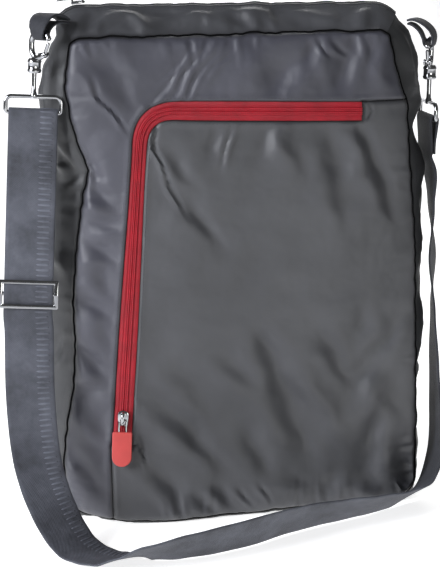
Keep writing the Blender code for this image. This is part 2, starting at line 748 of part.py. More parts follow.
def build_top():
    front = (0.0, 0.10, 0.25, RIDGE_FROM)
    back = (RIDGE_TO, 0.75, 0.90, 1.0)
    for name, shares in (("top_strip_front", front), ("top_strip_back", back)):
        rows = gusset_rows(RIGHT_SHOULDER, LEFT_SHOULDER, shares, (0.0,) * 4, CLOTH, GAP / 2, -GAP / 2)
        grid_sheet(name, *rows, (NYLON, 0.45))
    tape = (TAPE_FROM, 0.46, 0.472, 0.528, 0.54, 1 - TAPE_FROM)
    rises = (0.0, 0.0, COIL_RISE, COIL_RISE, 0.0, 0.0)
    rows = gusset_rows(RIGHT_SHOULDER, LEFT_SHOULDER, tape, rises, TAPE, GAP / 2, -GAP / 2)
    grid_sheet("main_zip_tape", *rows, (BLACK, 0.6))


# Zip sliders and pulls
def zip_slider(name, matrix, size):
    """A slider plate over the coil with a bridge along it: size is its length."""
    width, low, high = size * 0.70, COIL_RISE + 0.0005, COIL_RISE + 0.0021
    outline = ((-0.5, -0.30), (-0.30, -0.5), (0.30, -0.5), (0.5, -0.30), (0.42, 0.5), (-0.42, 0.5))
    count = len(outline)
    points = [Vector((x * width, y * size, level)) for level in (low, high) for x, y in outline]
    faces = [tuple(reversed(range(count))), tuple(range(count, 2 * count))]
    faces += [(i, (i + 1) % count, (i + 1) % count + count, i + count) for i in range(count)]
    plate = body(name, points, faces, (METAL, 0.18, 1.0))
    arch = ((-0.36, 0.0010), (-0.34, 0.0042), (-0.16, 0.0056), (0.16, 0.0056), (0.34, 0.0042), (0.36, 0.0010))
    path = [Vector((0, y * size, low + rise)) for y, rise in arch]
    bridge = sweep(name + "_bridge", path, Vector((1, 0, 0)), 0.0008, 6, flat=1.5)
    place(matrix, plate, bridge)
    boolean(plate, bridge, "UNION")


def pocket_pull(matrix):
    """A wire loop through the bridge and the rubber grip that it holds: the origin is on the hinge line."""
    reach, stop = 0.0028, 0.0100
    loop = [(-reach, 0.0), (0.0, 0.0), (reach, 0.0), (reach, stop), (0.0, stop + 0.0006), (-reach, stop)]
    path = [Vector((x, y, 0)) for x, y in loop]
    link = sweep("pocket_pull", path, Vector((0, 0, 1)), 0.00075, 6, closed=True, look=(METAL, 0.2, 1.0))
    wide, long, thick = 0.0155, 0.0275, 0.0030
    top = stop - 0.0012
    outline = [(-wide / 2, top + 0.0012), (-wide / 2 + 0.0012, top), (wide / 2 - 0.0012, top)]
    outline += [(wide / 2, top + 0.0012)]
    for angle in range(0, 181, 18):
        c, s = math.cos(math.radians(angle)), math.sin(math.radians(angle))
        outline.append((wide / 2 * c, top + long - wide / 2 + wide / 2 * s))
    grip = prism("pocket_pull_grip", outline, -thick / 2, thick / 2, (GRIP_RED, 0.5))
    slot = [(-reach - 0.0011, top - 0.002), (reach + 0.0011, top - 0.002)]
    slot += [(reach + 0.0011, stop + 0.0020), (-reach - 0.0011, stop + 0.0020)]
    pocket = prism("grip_slot", slot, -0.00115, 0.00115)
    flat = Matrix.Rotation(math.radians(-90), 4, "X")
    place(matrix, link)
    place(matrix @ flat, grip, pocket)
    boolean(grip, pocket, "DIFFERENCE")


def main_pull(matrix):
    """A thin metal pull with an eye round the bridge: the origin is on the hinge line."""
    outline = [(-0.0032, -0.0007), (0.0032, -0.0007), (0.0026, 0.0055), (0.0030, 0.0150)]
    outline += [(0.0014, 0.0170), (-0.0014, 0.0170), (-0.0030, 0.0150), (-0.0026, 0.0055)]
    hole = [(-0.0021, 0.0006), (0.0021, 0.0006), (0.0018, 0.0046), (-0.0018, 0.0046)]
    flat = Matrix.Rotation(math.radians(-90), 4, "X")
    pull = prism("main_pull", outline, -0.0005, 0.0005, (METAL, 0.2, 1.0))
    eye = prism("main_pull_eye", hole, -0.002, 0.002)
    place(matrix @ flat, pull, eye)
    boolean(pull, eye, "DIFFERENCE")


def slider_frame(origin, down, normal):
    """A frame at a slider: X across the zip, Y along it toward the hanging pull, Z out of the cloth."""
    down = (down - normal * down.dot(normal)).normalized()
    across = down.cross(normal)
    return Matrix((
        (across.x, down.x, normal.x, origin.x),
        (across.y, down.y, normal.y, origin.y),
        (across.z, down.z, normal.z, origin.z),
        (0, 0, 0, 1),
    ))


def lifted(frame, size, degrees):
    """The frame of a pull: on the line where it hangs in the bridge, and turned outward about that line."""
    hinge = Matrix.Translation(Vector((0, size * HINGE_SHARE, COIL_RISE + 0.0043)))
    return frame @ hinge @ Matrix.Rotation(math.radians(degrees), 4, "X")


def build_zip_metal():
    low, high = ZIP[-3][0], ZIP[-1][0]
    spot = low.lerp(high, 0.25)
    point, normal = surface(front_y, -1, spot.x, spot.y)
    end, _ = surface(front_y, -1, high.x, high.y)
    frame = slider_frame(point, (end - point).normalized() + Vector((0, 0, -1)), normal)
    zip_slider("pocket_slider", frame, 0.0125)
    pocket_pull(lifted(frame, 0.0125, 5.0))
    origin, run, _, normal = ring_frame(MAIN_SLIDER_STATION, 0.5)
    frame = slider_frame(origin, run, normal)
    zip_slider("main_slider", frame, 0.0105)
    main_pull(lifted(frame, 0.0105, 2.0))


# Hooks
def hook_matrix(side):
    top, turn, lean, _ = HOOKS[side]
    return (
        Matrix.Translation(top)
        @ Matrix.Rotation(math.radians(-lean), 4, "Y")
        @ Matrix.Rotation(math.radians(turn), 4, "Z")
    )


def ring_matrix(side):
    """The ring's own frame: its stem stands on the swivel line of the hook."""
    top, _, lean, ring_turn = HOOKS[side]
    swivel = hook_matrix(side) @ Vector((STEM_OFF, 0, 0))
    return (
        Matrix.Translation(swivel)
        @ Matrix.Rotation(math.radians(-lean), 4, "Y")
        @ Matrix.Rotation(math.radians(ring_turn), 4, "Z")
    )


def build_hook(side):
    """The claw, its barrel, the cheeks of the gate and the gate itself."""
    matrix = hook_matrix(side)
    claw = [Vector((x * MM, 0, z * MM)) for x, z in CLAW_PATH]
    for angle in (180, 153, 126, 99, 72, 45, 20):
        c, s = math.cos(math.radians(angle)), math.sin(math.radians(angle))
        claw.append(Vector((CLAW_HALF * c, 0, CLAW_HALF * s - CLAW_HALF)))
    hook = sweep("hook_body_" + side, claw, Vector((0, 1, 0)), CLAW_WIRE, look=(METAL, 0.18, 1.0))
    barrel = turned("hook_barrel_" + side, [(r * MM, z * MM) for r, z in BARREL])
    pin_x, pin_z = HINGE
    cheek = [(pin_x - 5.2, pin_z - 3.0), (pin_x + 1.2, pin_z - 2.4), (pin_x + 2.5, pin_z)]
    cheek += [(pin_x + 1.2, pin_z + 2.2), (pin_x - 4.4, pin_z + 1.2)]
    cheek = [(x * MM, z * MM) for x, z in cheek]
    front = prism("hook_cheek_a_" + side, cheek, 0.0018, 0.0030)
    back = prism("hook_cheek_b_" + side, cheek, -0.0030, -0.0018)
    pin_path = [Vector((pin_x * MM, y, pin_z * MM)) for y in (-0.0034, 0.0034)]
    pin = sweep("hook_pin_" + side, pin_path, Vector((0, 0, 1)), 0.0009)
    place(matrix @ Matrix.Translation(Vector((STEM_OFF, 0, 0))), barrel)
    place(matrix, hook, front, back, pin)
    for part in (barrel, front, back, pin):
        boolean(hook, part, "UNION")

    gate_path = [Vector((x * MM, 0, z * MM)) for x, z in GATE_PATH]
    gate = sweep("hook_gate_" + side, gate_path, Vector((0, 1, 0)), 0.00135, 6, look=(METAL, 0.2, 1.0))
    eye_path = [Vector((0, y, 0)) for y in (-0.00145, 0.00145)]
    eye = sweep("gate_eye_" + side, eye_path, Vector((0, 0, 1)), 0.0022)
    bore_path = [Vector((0, y, 0)) for y in (-0.004, 0.004)]
    bore = sweep("gate_bore_" + side, bore_path, Vector((0, 0, 1)), 0.00125)
    place(matrix @ Matrix.Translation(Vector((pin_x * MM, 0, pin_z * MM))), gate, eye, bore)
    boolean(gate, eye, "UNION")
    boolean(gate, bore, "DIFFERENCE")


def build_ring(side):
    """The ring for the webbing with the swivel stem that turns in the barrel."""
    wide, tall = RING_INSIDE[0] / 2 + RING_WIRE, RING_INSIDE[1] / 2 + RING_WIRE
    path = []
    for sign_x, sign_z, start, bend in RING_CORNERS:
        for step in (0, 30, 60, 90):
            angle = math.radians(start + step)
            x = sign_x * (wide - bend) + bend * math.cos(angle)
            z = sign_z * (tall - bend) + bend * math.sin(angle)
            path.append(Vector((x, 0, z - RING_DROP)))
    matrix = ring_matrix(side)
    look = (METAL, 0.18, 1.0)
    ring = sweep("hook_ring_" + side, path, Vector((0, 1, 0)), RING_WIRE, closed=True, look=look)
    stem = turned("hook_stem_" + side, [(r * MM, z * MM) for r, z in STEM])
    place(matrix, ring, stem)
    boolean(ring, stem, "UNION")


def build_tab(side):
    """The webbing loop sewn to the shoulder, closed round the top of the claw."""
    base, top = TAB_BASES[side], HOOKS[side][0]
    out = Vector((top.x - base.x, top.y - base.y, 0))
    reach = out.length
    out.normalize()
    across = Vector((-out.y, out.x, 0))
    path = []
    for share, rise, _ in TAB_PATH[side]:
        path.append(base + out * reach * share + Vector((0, 0, top.z - base.z + rise * MM)))
    points, sections = [], []
    for i, spot in enumerate(path):
        run = (path[min(i + 1, len(path) - 1)] - path[max(i - 1, 0)]).normalized()
        up = run.cross(across).normalized()
        half = TAB_WIDTH * TAB_PATH[side][i][2] / 2
        section = []
        for a, b in ((-1, -1), (1, -1), (1, 1), (-1, 1)):
            section.append(len(points))
            points.append(spot + across * a * half + up * b * TAB_THICK / 2)
        sections.append(section)
    body("tab_" + side, points, tube(points, sections, False), (WEBBING, 0.7))


# Strap
def chain_frame():
    """Where the left ring's lower bar is, the way down to the buckle, across, and out."""
    matrix = ring_matrix("left")
    start = matrix @ Vector((0, 0, -RING_DROP - RING_INSIDE[1] / 2 - RING_WIRE))
    across = (matrix.to_3x3() @ Vector((1, 0, 0))).normalized()
    lean = math.radians(CHAIN_FORWARD)
    down = (matrix.to_3x3() @ Vector((0, -math.sin(lean), -math.cos(lean)))).normalized()
    return start, down, across, down.cross(across), CHAIN_LENGTH


def doubled_part():
    """Strap stations from the sewn end at the buckle, up behind, over the ring's bar and down in front."""
    start, down, across, out, length = chain_frame()
    turn = RING_WIRE + 0.0004 + STRAP_THICK / 2
    stations = []
    for level, off in ((-19.0, -0.1), (-13.0, -0.1), (-9.0, 0.0), (-4.5, 1.6), (-1.2, 2.6)):
        stations.append((off, length / MM + level))
    for angle in (25, 60, 90, 120, 155):
        c, s = math.cos(math.radians(angle)), math.sin(math.radians(angle))
        stations.append((2.85 * c, length / MM + 2.85 * s))
    stations += [(-2.75, length / MM - 2.0), (-2.4, length / MM - 9.0), (-2.15, length / MM - 30)]
    stations += [(-2.1, length / MM * 0.6), (-2.1, length / MM * 0.35), (-2.3, 18), (-2.75, 6)]
    for angle in (180, 150, 120, 90, 60, 30, 0):
        c, s = math.cos(math.radians(angle)), math.sin(math.radians(angle))
        stations.append((turn / MM * c, -turn / MM * s))
    stations += [(2.6, 6), (2.1, 18), (1.95, length / MM * 0.35), (1.95, length / MM * 0.6)]
    stations += [(1.95, length / MM - 30), (1.95, length / MM - 20), (1.9, length / MM - 8.2)]
    stations += [(3.3, length / MM - 5.2), (4.5, length / MM - 2.2), (4.5, length / MM + 2.2)]
    stations += [(3.3, length / MM + 5.2), (1.9, length / MM + 8.2), (1.6, length / MM + 17)]
    return [(start + down * d * MM + out * f * MM, across) for f, d in stations]


def right_part():
    """Strap stations round the lower bar of the right ring, ending on the far side of the climbing strap."""
    matrix = ring_matrix("right")
    centre = matrix @ Vector((0, 0, -RING_DROP - RING_INSIDE[1] / 2 - RING_WIRE))
    across = (matrix.to_3x3() @ Vector((1, 0, 0))).normalized()
    up = (matrix.to_3x3() @ Vector((0, 0, 1))).normalized()
    out = up.cross(across)
    turn = (RING_WIRE + 0.0004 + STRAP_THICK / 2) / MM
    flat = [(0.8, -30), (1.1, -20), (2.2, -8)]
    for angle in (0, 30, 60, 90, 120, 150, 180):
        c, s = math.cos(math.radians(angle)), math.sin(math.radians(angle))
        flat.append((turn * c, turn * s))
    flat += [(-2.2, -8), (-1.15, -18), (-1.15, -27)]
    return [(centre + out * g * MM + up * e * MM, across) for g, e in flat]


def strap_route():
    """Place and way across at every row of the strap's tables."""
    start, down, _, _, length = chain_frame()
    buckle = start + down * length
    ring = ring_matrix("right") @ Vector((0, 0, -RING_DROP))
    rows = []
    for table, height in ((STRAP_LEFT, buckle.z), (STRAP_FLOOR, STRAP_WIDTH), (STRAP_RIGHT, ring.z)):
        for x, y, z, *side in table:
            rows.append((Vector((x * HALF_WIDTH, y * STRAP_REACH, z * height)), Vector(side).normalized()))
    return rows


def smooth_route(rows):
    """Strap stations through the route, with one more between each pair."""
    places, sides = zip(*rows)
    stations = []
    last = len(rows) - 1
    for i in range(last):
        before, after = places[max(i - 1, 0)], places[min(i + 2, last)]
        a, b = places[i], places[i + 1]
        for s in (0.0, 0.5):
            go, come = (b - before) / 2, (after - a) / 2
            spot = a * (2 * s**3 - 3 * s**2 + 1) + b * (3 * s**2 - 2 * s**3)
            spot += go * (s**3 - 2 * s**2 + s) + come * (s**3 - s**2)
            stations.append((spot, sides[i].lerp(sides[i + 1], s)))
    stations.append((places[-1], sides[-1]))
    return stations


def build_strap():
    stations = doubled_part() + smooth_route(strap_route()) + right_part()
    points, sections = [], []
    last = len(stations) - 1
    for i, (spot, across) in enumerate(stations):
        run = (stations[min(i + 1, last)][0] - stations[max(i - 1, 0)][0]).normalized()
        across = (across - run * across.dot(run)).normalized()
        out = run.cross(across)
        section = []
        for a, b in ((-1, -1), (0, -1), (1, -1), (1, 1), (0, 1), (-1, 1)):
            section.append(len(points))
            points.append(spot + across * a * STRAP_WIDTH / 2 + out * b * STRAP_THICK / 2)
        sections.append(section)
    body("strap", points, tube(points, sections, False), (WEBBING, 0.7))


def build_buckle():
    """The slide buckle: a frame in front of the strap and a bar behind it, joined at the sides."""
    start, down, across, out, length = chain_frame()
    middle = start + down * length
    matrix = Matrix((
        (across.x, -out.x, -down.x, middle.x),
        (across.y, -out.y, -down.y, middle.y),
        (across.z, -out.z, -down.z, middle.z),
        (0, 0, 0, 1),
    ))
    wide, tall, bar = 0.0232, 0.0112, 0.0023
    outer = [(-wide, -tall), (wide, -tall), (wide, tall), (-wide, tall)]
    inner = [(-wide + bar, -tall + bar), (wide - bar, -tall + bar)]
    inner += [(wide - bar, tall - bar), (-wide + bar, tall - bar)]
    near, far = -0.0053, -0.0031
    points = [Vector((x, y, z)) for y in (near, far) for ring in (outer, inner) for x, z in ring]
    faces = []
    for k in range(4):
        j = (k + 1) % 4
        faces += [(k, j, 4 + j, 4 + k), (8 + j, 8 + k, 12 + k, 12 + j)]
        faces += [(j, k, 8 + k, 8 + j), (4 + k, 4 + j, 12 + j, 12 + k)]
    frame = body("tri_glide", points, faces, (METAL, 0.18, 1.0))
    pieces = []
    for sign in (-1, 1):
        ear = [(sign * (wide - bar), -0.0030), (sign * wide, -0.0030), (sign * wide, 0.0030)]
        ear += [(sign * (wide - bar), 0.0030)]
        pieces.append(prism("tri_glide_ear_" + ("a" if sign < 0 else "b"), ear, far - 0.0004, 0.0016))
    path = [Vector((x, 0, 0)) for x in (-wide + 0.0006, wide - 0.0006)]
    pieces.append(sweep("tri_glide_bar", path, Vector((0, 1, 0)), 0.0016))
    place(matrix, frame, *pieces)
    for piece in pieces:
        boolean(frame, piece, "UNION")


build_front()
build_back()
build_pocket_zip()
build_gusset()
build_top()
build_zip_metal()
for hand in ("left", "right"):
    build_hook(hand)
    build_ring(hand)
    build_tab(hand)
build_strap()
build_buckle()
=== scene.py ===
"""Laptop bag with a shoulder strap: its cloth, zips, metal and webbing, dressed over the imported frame.

Z up, the front panel toward -Y, metres. The sizes and tables are those of the bag's own solids, drawn finer.
"""

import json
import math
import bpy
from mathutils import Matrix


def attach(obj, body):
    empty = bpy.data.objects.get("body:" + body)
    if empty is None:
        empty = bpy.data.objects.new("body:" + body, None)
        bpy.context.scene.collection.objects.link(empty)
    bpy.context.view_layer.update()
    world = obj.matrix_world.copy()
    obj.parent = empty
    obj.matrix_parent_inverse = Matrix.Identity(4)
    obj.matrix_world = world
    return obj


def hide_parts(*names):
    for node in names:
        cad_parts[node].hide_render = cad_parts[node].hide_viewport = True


bl_info = {
    "name": "Laptop Bag",
    "version": (1, 0, 0),
    "blender": (4, 5, 0),
    "location": "View3D > Sidebar > Bag",
    "description": "Builds the cloth, zips, metal and strap of an upright laptop bag",
    "category": "Add Mesh",
}

import bmesh
import bpy
import numpy as np
from bpy.props import FloatProperty, FloatVectorProperty, PointerProperty
from mathutils import Matrix, Vector
from mathutils.geometry import delaunay_2d_cdt

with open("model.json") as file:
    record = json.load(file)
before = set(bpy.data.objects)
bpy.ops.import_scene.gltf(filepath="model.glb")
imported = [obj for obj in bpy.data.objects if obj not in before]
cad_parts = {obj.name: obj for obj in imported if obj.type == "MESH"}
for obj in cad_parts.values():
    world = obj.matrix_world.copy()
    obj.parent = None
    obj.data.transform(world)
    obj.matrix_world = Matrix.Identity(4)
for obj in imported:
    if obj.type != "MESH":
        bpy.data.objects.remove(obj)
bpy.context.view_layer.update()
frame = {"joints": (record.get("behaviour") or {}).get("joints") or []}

MM = 0.001
X_WAY, Y_WAY, Z_WAY = Vector((1, 0, 0)), Vector((0, 1, 0)), Vector((0, 0, 1))

# Bag body
SEAM_HEIGHT = 0.383
HALF_WIDTH = 0.1435
HALF_DEPTH = 0.0305
CROWN_FRONT = 0.0180
CROWN_BACK = 0.0080
BASE_LIFT = 0.0026
BASE_CORNER = 0.0210
TOP_CORNER = 0.0085
BOW_BACK = 0.0050
SIDE_BULGE = 0.0250
RIDGE_RISE = 0.0225
CLOTH = 0.0015
TAPE = 0.0012
GAP = 0.0004

MITRE_GAP = 0.00026

# Cloth at rest: how much larger it is cut than its place, how strong the folds and creases are as a share of
# their tables, how far a point may move, and how close to a seam its stitches hold the cloth down
FRONT_CUT = (1.028, 1.0, 1.020)
GUSSET_CUT = (1.035, 1.035, 1.035)
FOLD_SHARE = 1.25
CREASE_SHARE = 1.3
REST_CAP = 0.006
SEAM_HOLD = 0.003

# Seams: how high the cloth rolls up beside them, how far their stitches pull them to and fro, the radius of
# the painted seam shadow line, and the pinch in the left seam, with its height as a share of the seam height
SEAM_ROLL = 0.0026
SEAM_WAVE = 0.0007
SEAM_SHADOW_RADIUS = 0.0009
PINCH_DEPTH = 0.0018
PINCH_SHARE = 0.735

# Painted light and shade: the yoke's nylon as shares of the panel's red, green and blue, painted cooler for
# the bluish light from the left, and how much of its tone the webbing keeps where it hangs in the bag's shade
YOKE_LIGHT_TINT = (0.93, 0.92, 1.06)
STRAP_SHADE = 0.34

# Pocket zip on the front panel
ZIP_WIDTH = 0.0147
ZIP_TOP_RIGHT = (0.0986, 0.3219)
ZIP_CORNER = (-0.0718, 0.3277)
ZIP_BOTTOM = (-0.0948, 0.0650)
ZIP_TURN = 0.040
ZIP_BEND = 0.027
POCKET_SEAM_RIGHT = 0.3292
POCKET_SEAM_BASE = -0.1036
COIL_RISE = 0.0013
STITCH_OFF = 0.0022

# Main zip on the ridge
RIDGE_FROM = 0.384
RIDGE_TO = 0.616
TAPE_FROM = 0.391
RIDGE_WAY = (-1, 0, -0.1184)
RIDGE_UP = (-0.1176, 0, 0.9931)

# Sliders: their lengths, how high over the coil a pull hangs, its place as a share of the length, and the
# pocket slider's place as a share of the zip's last straight stretch
POCKET_SLIDER = 0.0125
MAIN_SLIDER = 0.0105
BRIDGE_RISE = 0.0043
HINGE_SHARE = 0.08
SLIDER_SHARE = 0.90625

# Strap and its metal
STRAP_WIDTH = 0.0380
STRAP_THICK = 0.0015
RING_WIRE = 0.0017
RING_INSIDE = (0.0392, 0.0090)
CLAW_WIRE = 0.0022
CLAW_HALF = 0.0095

# Seam line of the front panel: share of the seam height, left and right edge as shares of the half width
FRONT_SEAM = (
    (0.00, 0.975, 1.000),
    (0.06, 0.972, 1.001),
    (0.12, 0.980, 1.000),
    (0.22, 0.945, 1.005),
    (0.30, 0.905, 1.002),
    (0.46, 0.895, 0.998),
    (0.58, 0.868, 0.992),
    (0.65, 0.842, 0.981),
    (0.735, 0.806, 0.965),
    (0.80, 0.852, 0.958),
    (0.86, 0.885, 0.945),
    (0.92, 0.897, 0.893),
    (1.00, 0.855, 0.848),
)

# Seam line of the back panel: share of the seam height, both edges
BACK_SEAM = (
    (0.00, 0.985, 0.985),
    (0.25, 0.960, 0.965),
    (0.60, 0.940, 0.950),
    (0.85, 0.915, 0.920),
    (1.00, 0.850, 0.850),
)

# How far the gusset stands out of its seams: share of the seam height, left and right as shares of the bulge
GUSSET = (
    (0.00, 0.64, 0.22),
    (0.10, 0.68, 0.25),
    (0.20, 0.70, 0.27),
    (0.40, 0.70, 0.46),
    (0.57, 0.76, 0.58),
    (0.65, 0.80, 0.65),
    (0.735, 0.74, 0.64),
    (0.80, 0.72, 0.50),
    (0.87, 0.78, 0.82),
    (0.94, 0.84, 1.04),
    (1.00, 0.60, 0.92),
)
CORNER_BULGE = (0.56, 0.66)
RIDGE_SHARE = (1.02, 0.84)

# How far the front stands forward at its base: share of the width from -1 to 1, then mm
BOW_FRONT = (
    (-1.00, 0.0),
    (-0.85, 15.0),
    (-0.70, 23.0),
    (-0.50, 25.0),
    (-0.30, 22.0),
    (-0.10, 17.0),
    (0.12, 14.0),
    (0.36, 7.0),
    (0.60, 3.0),
    (1.00, 0.0),
)

# How much of the pocket zip shows between its cloth edges: share of its length, share of its width
ZIP_SHOWS = (
    (0.00, 1.00),
    (0.30, 1.00),
    (0.37, 0.90),
    (0.45, 0.76),
    (0.55, 0.78),
    (0.64, 0.87),
    (0.74, 0.96),
    (0.82, 1.00),
    (1.00, 1.00),
)

# Half of a zip tape's profile: distance from the middle and rise in mm
ZIP_PROFILE = (
    (0.00, 0.34), (0.25, 0.44), (0.50, 0.86), (0.80, 1.06), (1.15, 1.00), (1.45, 0.72), (1.65, 0.70),
    (1.95, 0.98), (2.30, 1.06), (2.65, 0.82), (2.95, 0.30), (3.30, 0.00), (3.70, 0.06), (4.10, 0.26),
    (4.60, 0.34), (5.60, 0.22), (6.60, 0.05),
)

# Folds of the front: x and z share, half length as a share of the seam height, angle in degrees, then the
# half width and the depth in mm
FRONT_FOLDS = (
    (-0.7, 0.935, 0.033, -65, 9.5, 2.3),
    (-0.6, 0.91, 0.043, -72, 8.1, 1.8),
    (0.42, 0.955, 0.030, 58, 5.4, 2.3),
    (0.6, 0.93, 0.050, 70, 8.1, 3.1),
    (0.72, 0.925, 0.045, 78, 6.8, 2.9),
    (0.1, 0.935, 0.049, 63, 12.2, -2.1),
    (0.26, 0.915, 0.037, 40, 9.5, 1.8),
    (-0.3, 0.745, 0.056, -58, 5.4, 2.3),
    (-0.21, 0.64, 0.075, -57, 8.1, 2.9),
    (-0.12, 0.79, 0.033, 60, 5.4, 1.8),
    (0.16, 0.79, 0.050, 78, 6.8, 2.1),
    (0.55, 0.743, 0.120, -79, 10.0, 2.8),
    (0.7, 0.79, 0.062, -62, 5.4, 2.6),
    (0.8, 0.7, 0.075, -74, 6.8, 2.9),
    (0.37, 0.769, 0.056, -86, 9.5, 2.1),
    (-0.78, 0.75, 0.041, -67, 6.8, 3.6),
    (-0.74, 0.689, 0.036, -42, 6.1, 3.4),
    (-0.7, 0.63, 0.037, -10, 5.4, 2.3),
    (-0.74, 0.575, 0.049, -37, 7.4, 2.9),
    (-0.72, 0.51, 0.037, -62, 6.8, 2.3),
    (-0.77, 0.457, 0.044, -31, 7.4, 3.1),
    (-0.74, 0.4, 0.037, -70, 6.8, 2.3),
    (-0.8, 0.345, 0.046, -37, 7.4, 3.6),
    (-0.76, 0.29, 0.037, 20, 6.8, 2.1),
    (-0.79, 0.232, 0.056, -48, 7.4, 3.1),
    (-0.78, 0.15, 0.037, -75, 6.8, 2.3),
    (-0.86, 0.117, 0.057, -56, 8.1, 3.1),
    (0.28, 0.225, 0.130, -71, 10.5, 3.8),
    (0.42, 0.263, 0.110, -61, 9.0, -3.1),
    (0.6, 0.262, 0.095, 62, 11.0, 2.6),
    (0.6, 0.205, 0.135, 45, 13.0, -1.5),
    (0.52, 0.345, 0.059, -63, 6.8, 2.9),
    (0.165, 0.351, 0.053, -67, 7.4, 3.1),
    (0.65, 0.385, 0.056, 68, 8.1, 2.9),
    (0.79, 0.35, 0.069, 58, 8.1, 3.1),
    (0.74, 0.156, 0.088, 72, 8.1, 2.9),
    (0.86, 0.244, 0.068, -77, 8.1, 2.6),
    (-0.01, 0.334, 0.062, -58, 9.5, 2.6),
    (-0.24, 0.183, 0.081, -53, 7.4, 3.1),
    (-0.385, 0.075, 0.062, -59, 6.8, 2.9),
    (-0.4, 0.24, 0.085, -50, 9.5, 2.9),
    (-0.27, 0.3, 0.075, -62, 10.8, 2.6),
    (0.08, 0.15, 0.056, -64, 9.5, 2.9),
    (0.3, 0.085, 0.037, -57, 8.1, 2.3),
    (-0.1, 0.06, 0.037, -64, 6.1, 2.6),
    (-0.23, 0.045, 0.031, -60, 5.4, 2.6),
    (0.5, 0.06, 0.033, 55, 6.8, 2.3),
    (0.74, 0.061, 0.036, -59, 6.8, 2.6),
    (0.94, 0.084, 0.048, -74, 6.8, 2.9),
)

# Creases of the front, pressed in where it was folded: the same columns
FRONT_CREASES = (
    (-0.2, 0.918, 0.059, 47, 1.7, 1.2),
    (-0.27, 0.917, 0.065, 51, 1.7, 1.0),
    (-0.37, 0.898, 0.056, 54, 1.7, 1.0),
    (-0.31, 0.942, 0.047, 45, 1.7, 0.8),
    (-0.12, 0.935, 0.042, 44, 1.7, 0.8),
    (-0.675, 0.87, 0.058, -56, 1.7, 1.5),
    (0.5, 0.975, 0.021, -55, 1.7, 1.0),
    (0.58, 0.975, 0.023, -57, 1.7, 1.1),
    (-0.42, 0.79, 0.053, -81, 1.7, 1.5),
    (-0.35, 0.7, 0.058, -69, 1.7, 1.4),
    (-0.055, 0.776, 0.038, 74, 1.7, 1.2),
    (-0.55, 0.155, 0.033, -66, 1.7, 1.4),
    (0.02, 0.045, 0.023, -58, 1.7, 1.1),
    (0.12, 0.05, 0.023, -66, 1.7, 1.1),
)

# Folds of the back, which the photo doesn't show: the same columns
BACK_FOLDS = (
    (-0.62, 0.900, 0.060, -60, 8.0, 2.4),
    (0.55, 0.910, 0.055, 62, 8.0, 2.2),
    (0.05, 0.935, 0.050, 75, 9.0, 1.8),
    (-0.80, 0.600, 0.060, -35, 8.0, 2.2),
    (0.80, 0.480, 0.070, 48, 8.0, 2.4),
    (-0.30, 0.520, 0.110, -68, 12.0, 1.8),
    (0.35, 0.300, 0.110, 66, 11.0, 2.2),
    (-0.55, 0.220, 0.090, 55, 10.0, 2.4),
    (0.10, 0.090, 0.050, -72, 8.0, 2.2),
)

# Folds of the sides: share of the depth from the front, z share, half length as a share of the seam height,
# angle in degrees, then the half width and the depth in mm
LEFT_FOLDS = (
    (0.30, 0.860, 0.080, 84, 5.0, 3.0),
    (0.10, 0.755, 0.040, 74, 3.2, 3.0),
    (0.08, 0.702, 0.018, 115, 3.2, 3.0),
    (0.30, 0.740, 0.040, 60, 6.0, 3.0),
    (0.45, 0.640, 0.090, 80, 6.0, 3.0),
    (0.22, 0.560, 0.050, 62, 5.0, 3.0),
    (0.40, 0.400, 0.110, 88, 7.0, 3.5),
    (0.20, 0.330, 0.045, 115, 5.0, 2.8),
    (0.35, 0.180, 0.080, 95, 7.0, 3.0),
    (0.70, 0.500, 0.140, 90, 9.0, 2.5),
    (0.75, 0.250, 0.080, 80, 8.0, 2.0),
    (0.65, 0.850, 0.080, 100, 7.0, 2.0),
)
RIGHT_FOLDS = (
    (0.20, 0.930, 0.050, 96, 4.0, 3.2),
    (0.42, 0.900, 0.060, 88, 4.5, 3.0),
    (0.30, 0.830, 0.035, 40, 5.0, 3.0),
    (0.35, 0.720, 0.060, 85, 5.0, 2.6),
    (0.25, 0.560, 0.050, 100, 5.0, 2.4),
    (0.30, 0.400, 0.060, 84, 6.0, 2.4),
    (0.60, 0.600, 0.120, 90, 8.0, 2.4),
    (0.65, 0.250, 0.120, 90, 8.0, 2.0),
)

# Folds of the top: x share, share of the depth from the front, half length as a share of the seam height,
# angle in degrees, then the half width and the depth in mm
TOP_FOLDS = (
    (-0.70, 0.14, 0.055, 24, 3.5, 2.1),
    (-0.80, 0.24, 0.030, 55, 4.0, 1.8),
    (-0.52, 0.20, 0.040, -35, 4.5, 1.7),
    (-0.30, 0.20, 0.060, 8, 4.5, 1.5),
    (-0.08, 0.18, 0.050, -12, 4.0, 1.4),
    (0.12, 0.16, 0.035, -58, 4.0, 2.1),
    (0.18, 0.20, 0.030, -40, 4.0, 1.5),
    (0.05, 0.30, 0.080, 2, 3.5, 1.1),
    (0.45, 0.18, 0.060, -6, 4.5, 1.5),
    (0.72, 0.16, 0.035, 50, 4.0, 1.8),
    (-0.40, 0.80, 0.060, 10, 5.0, 1.0),
    (0.30, 0.82, 0.060, -12, 5.0, 1.0),
)

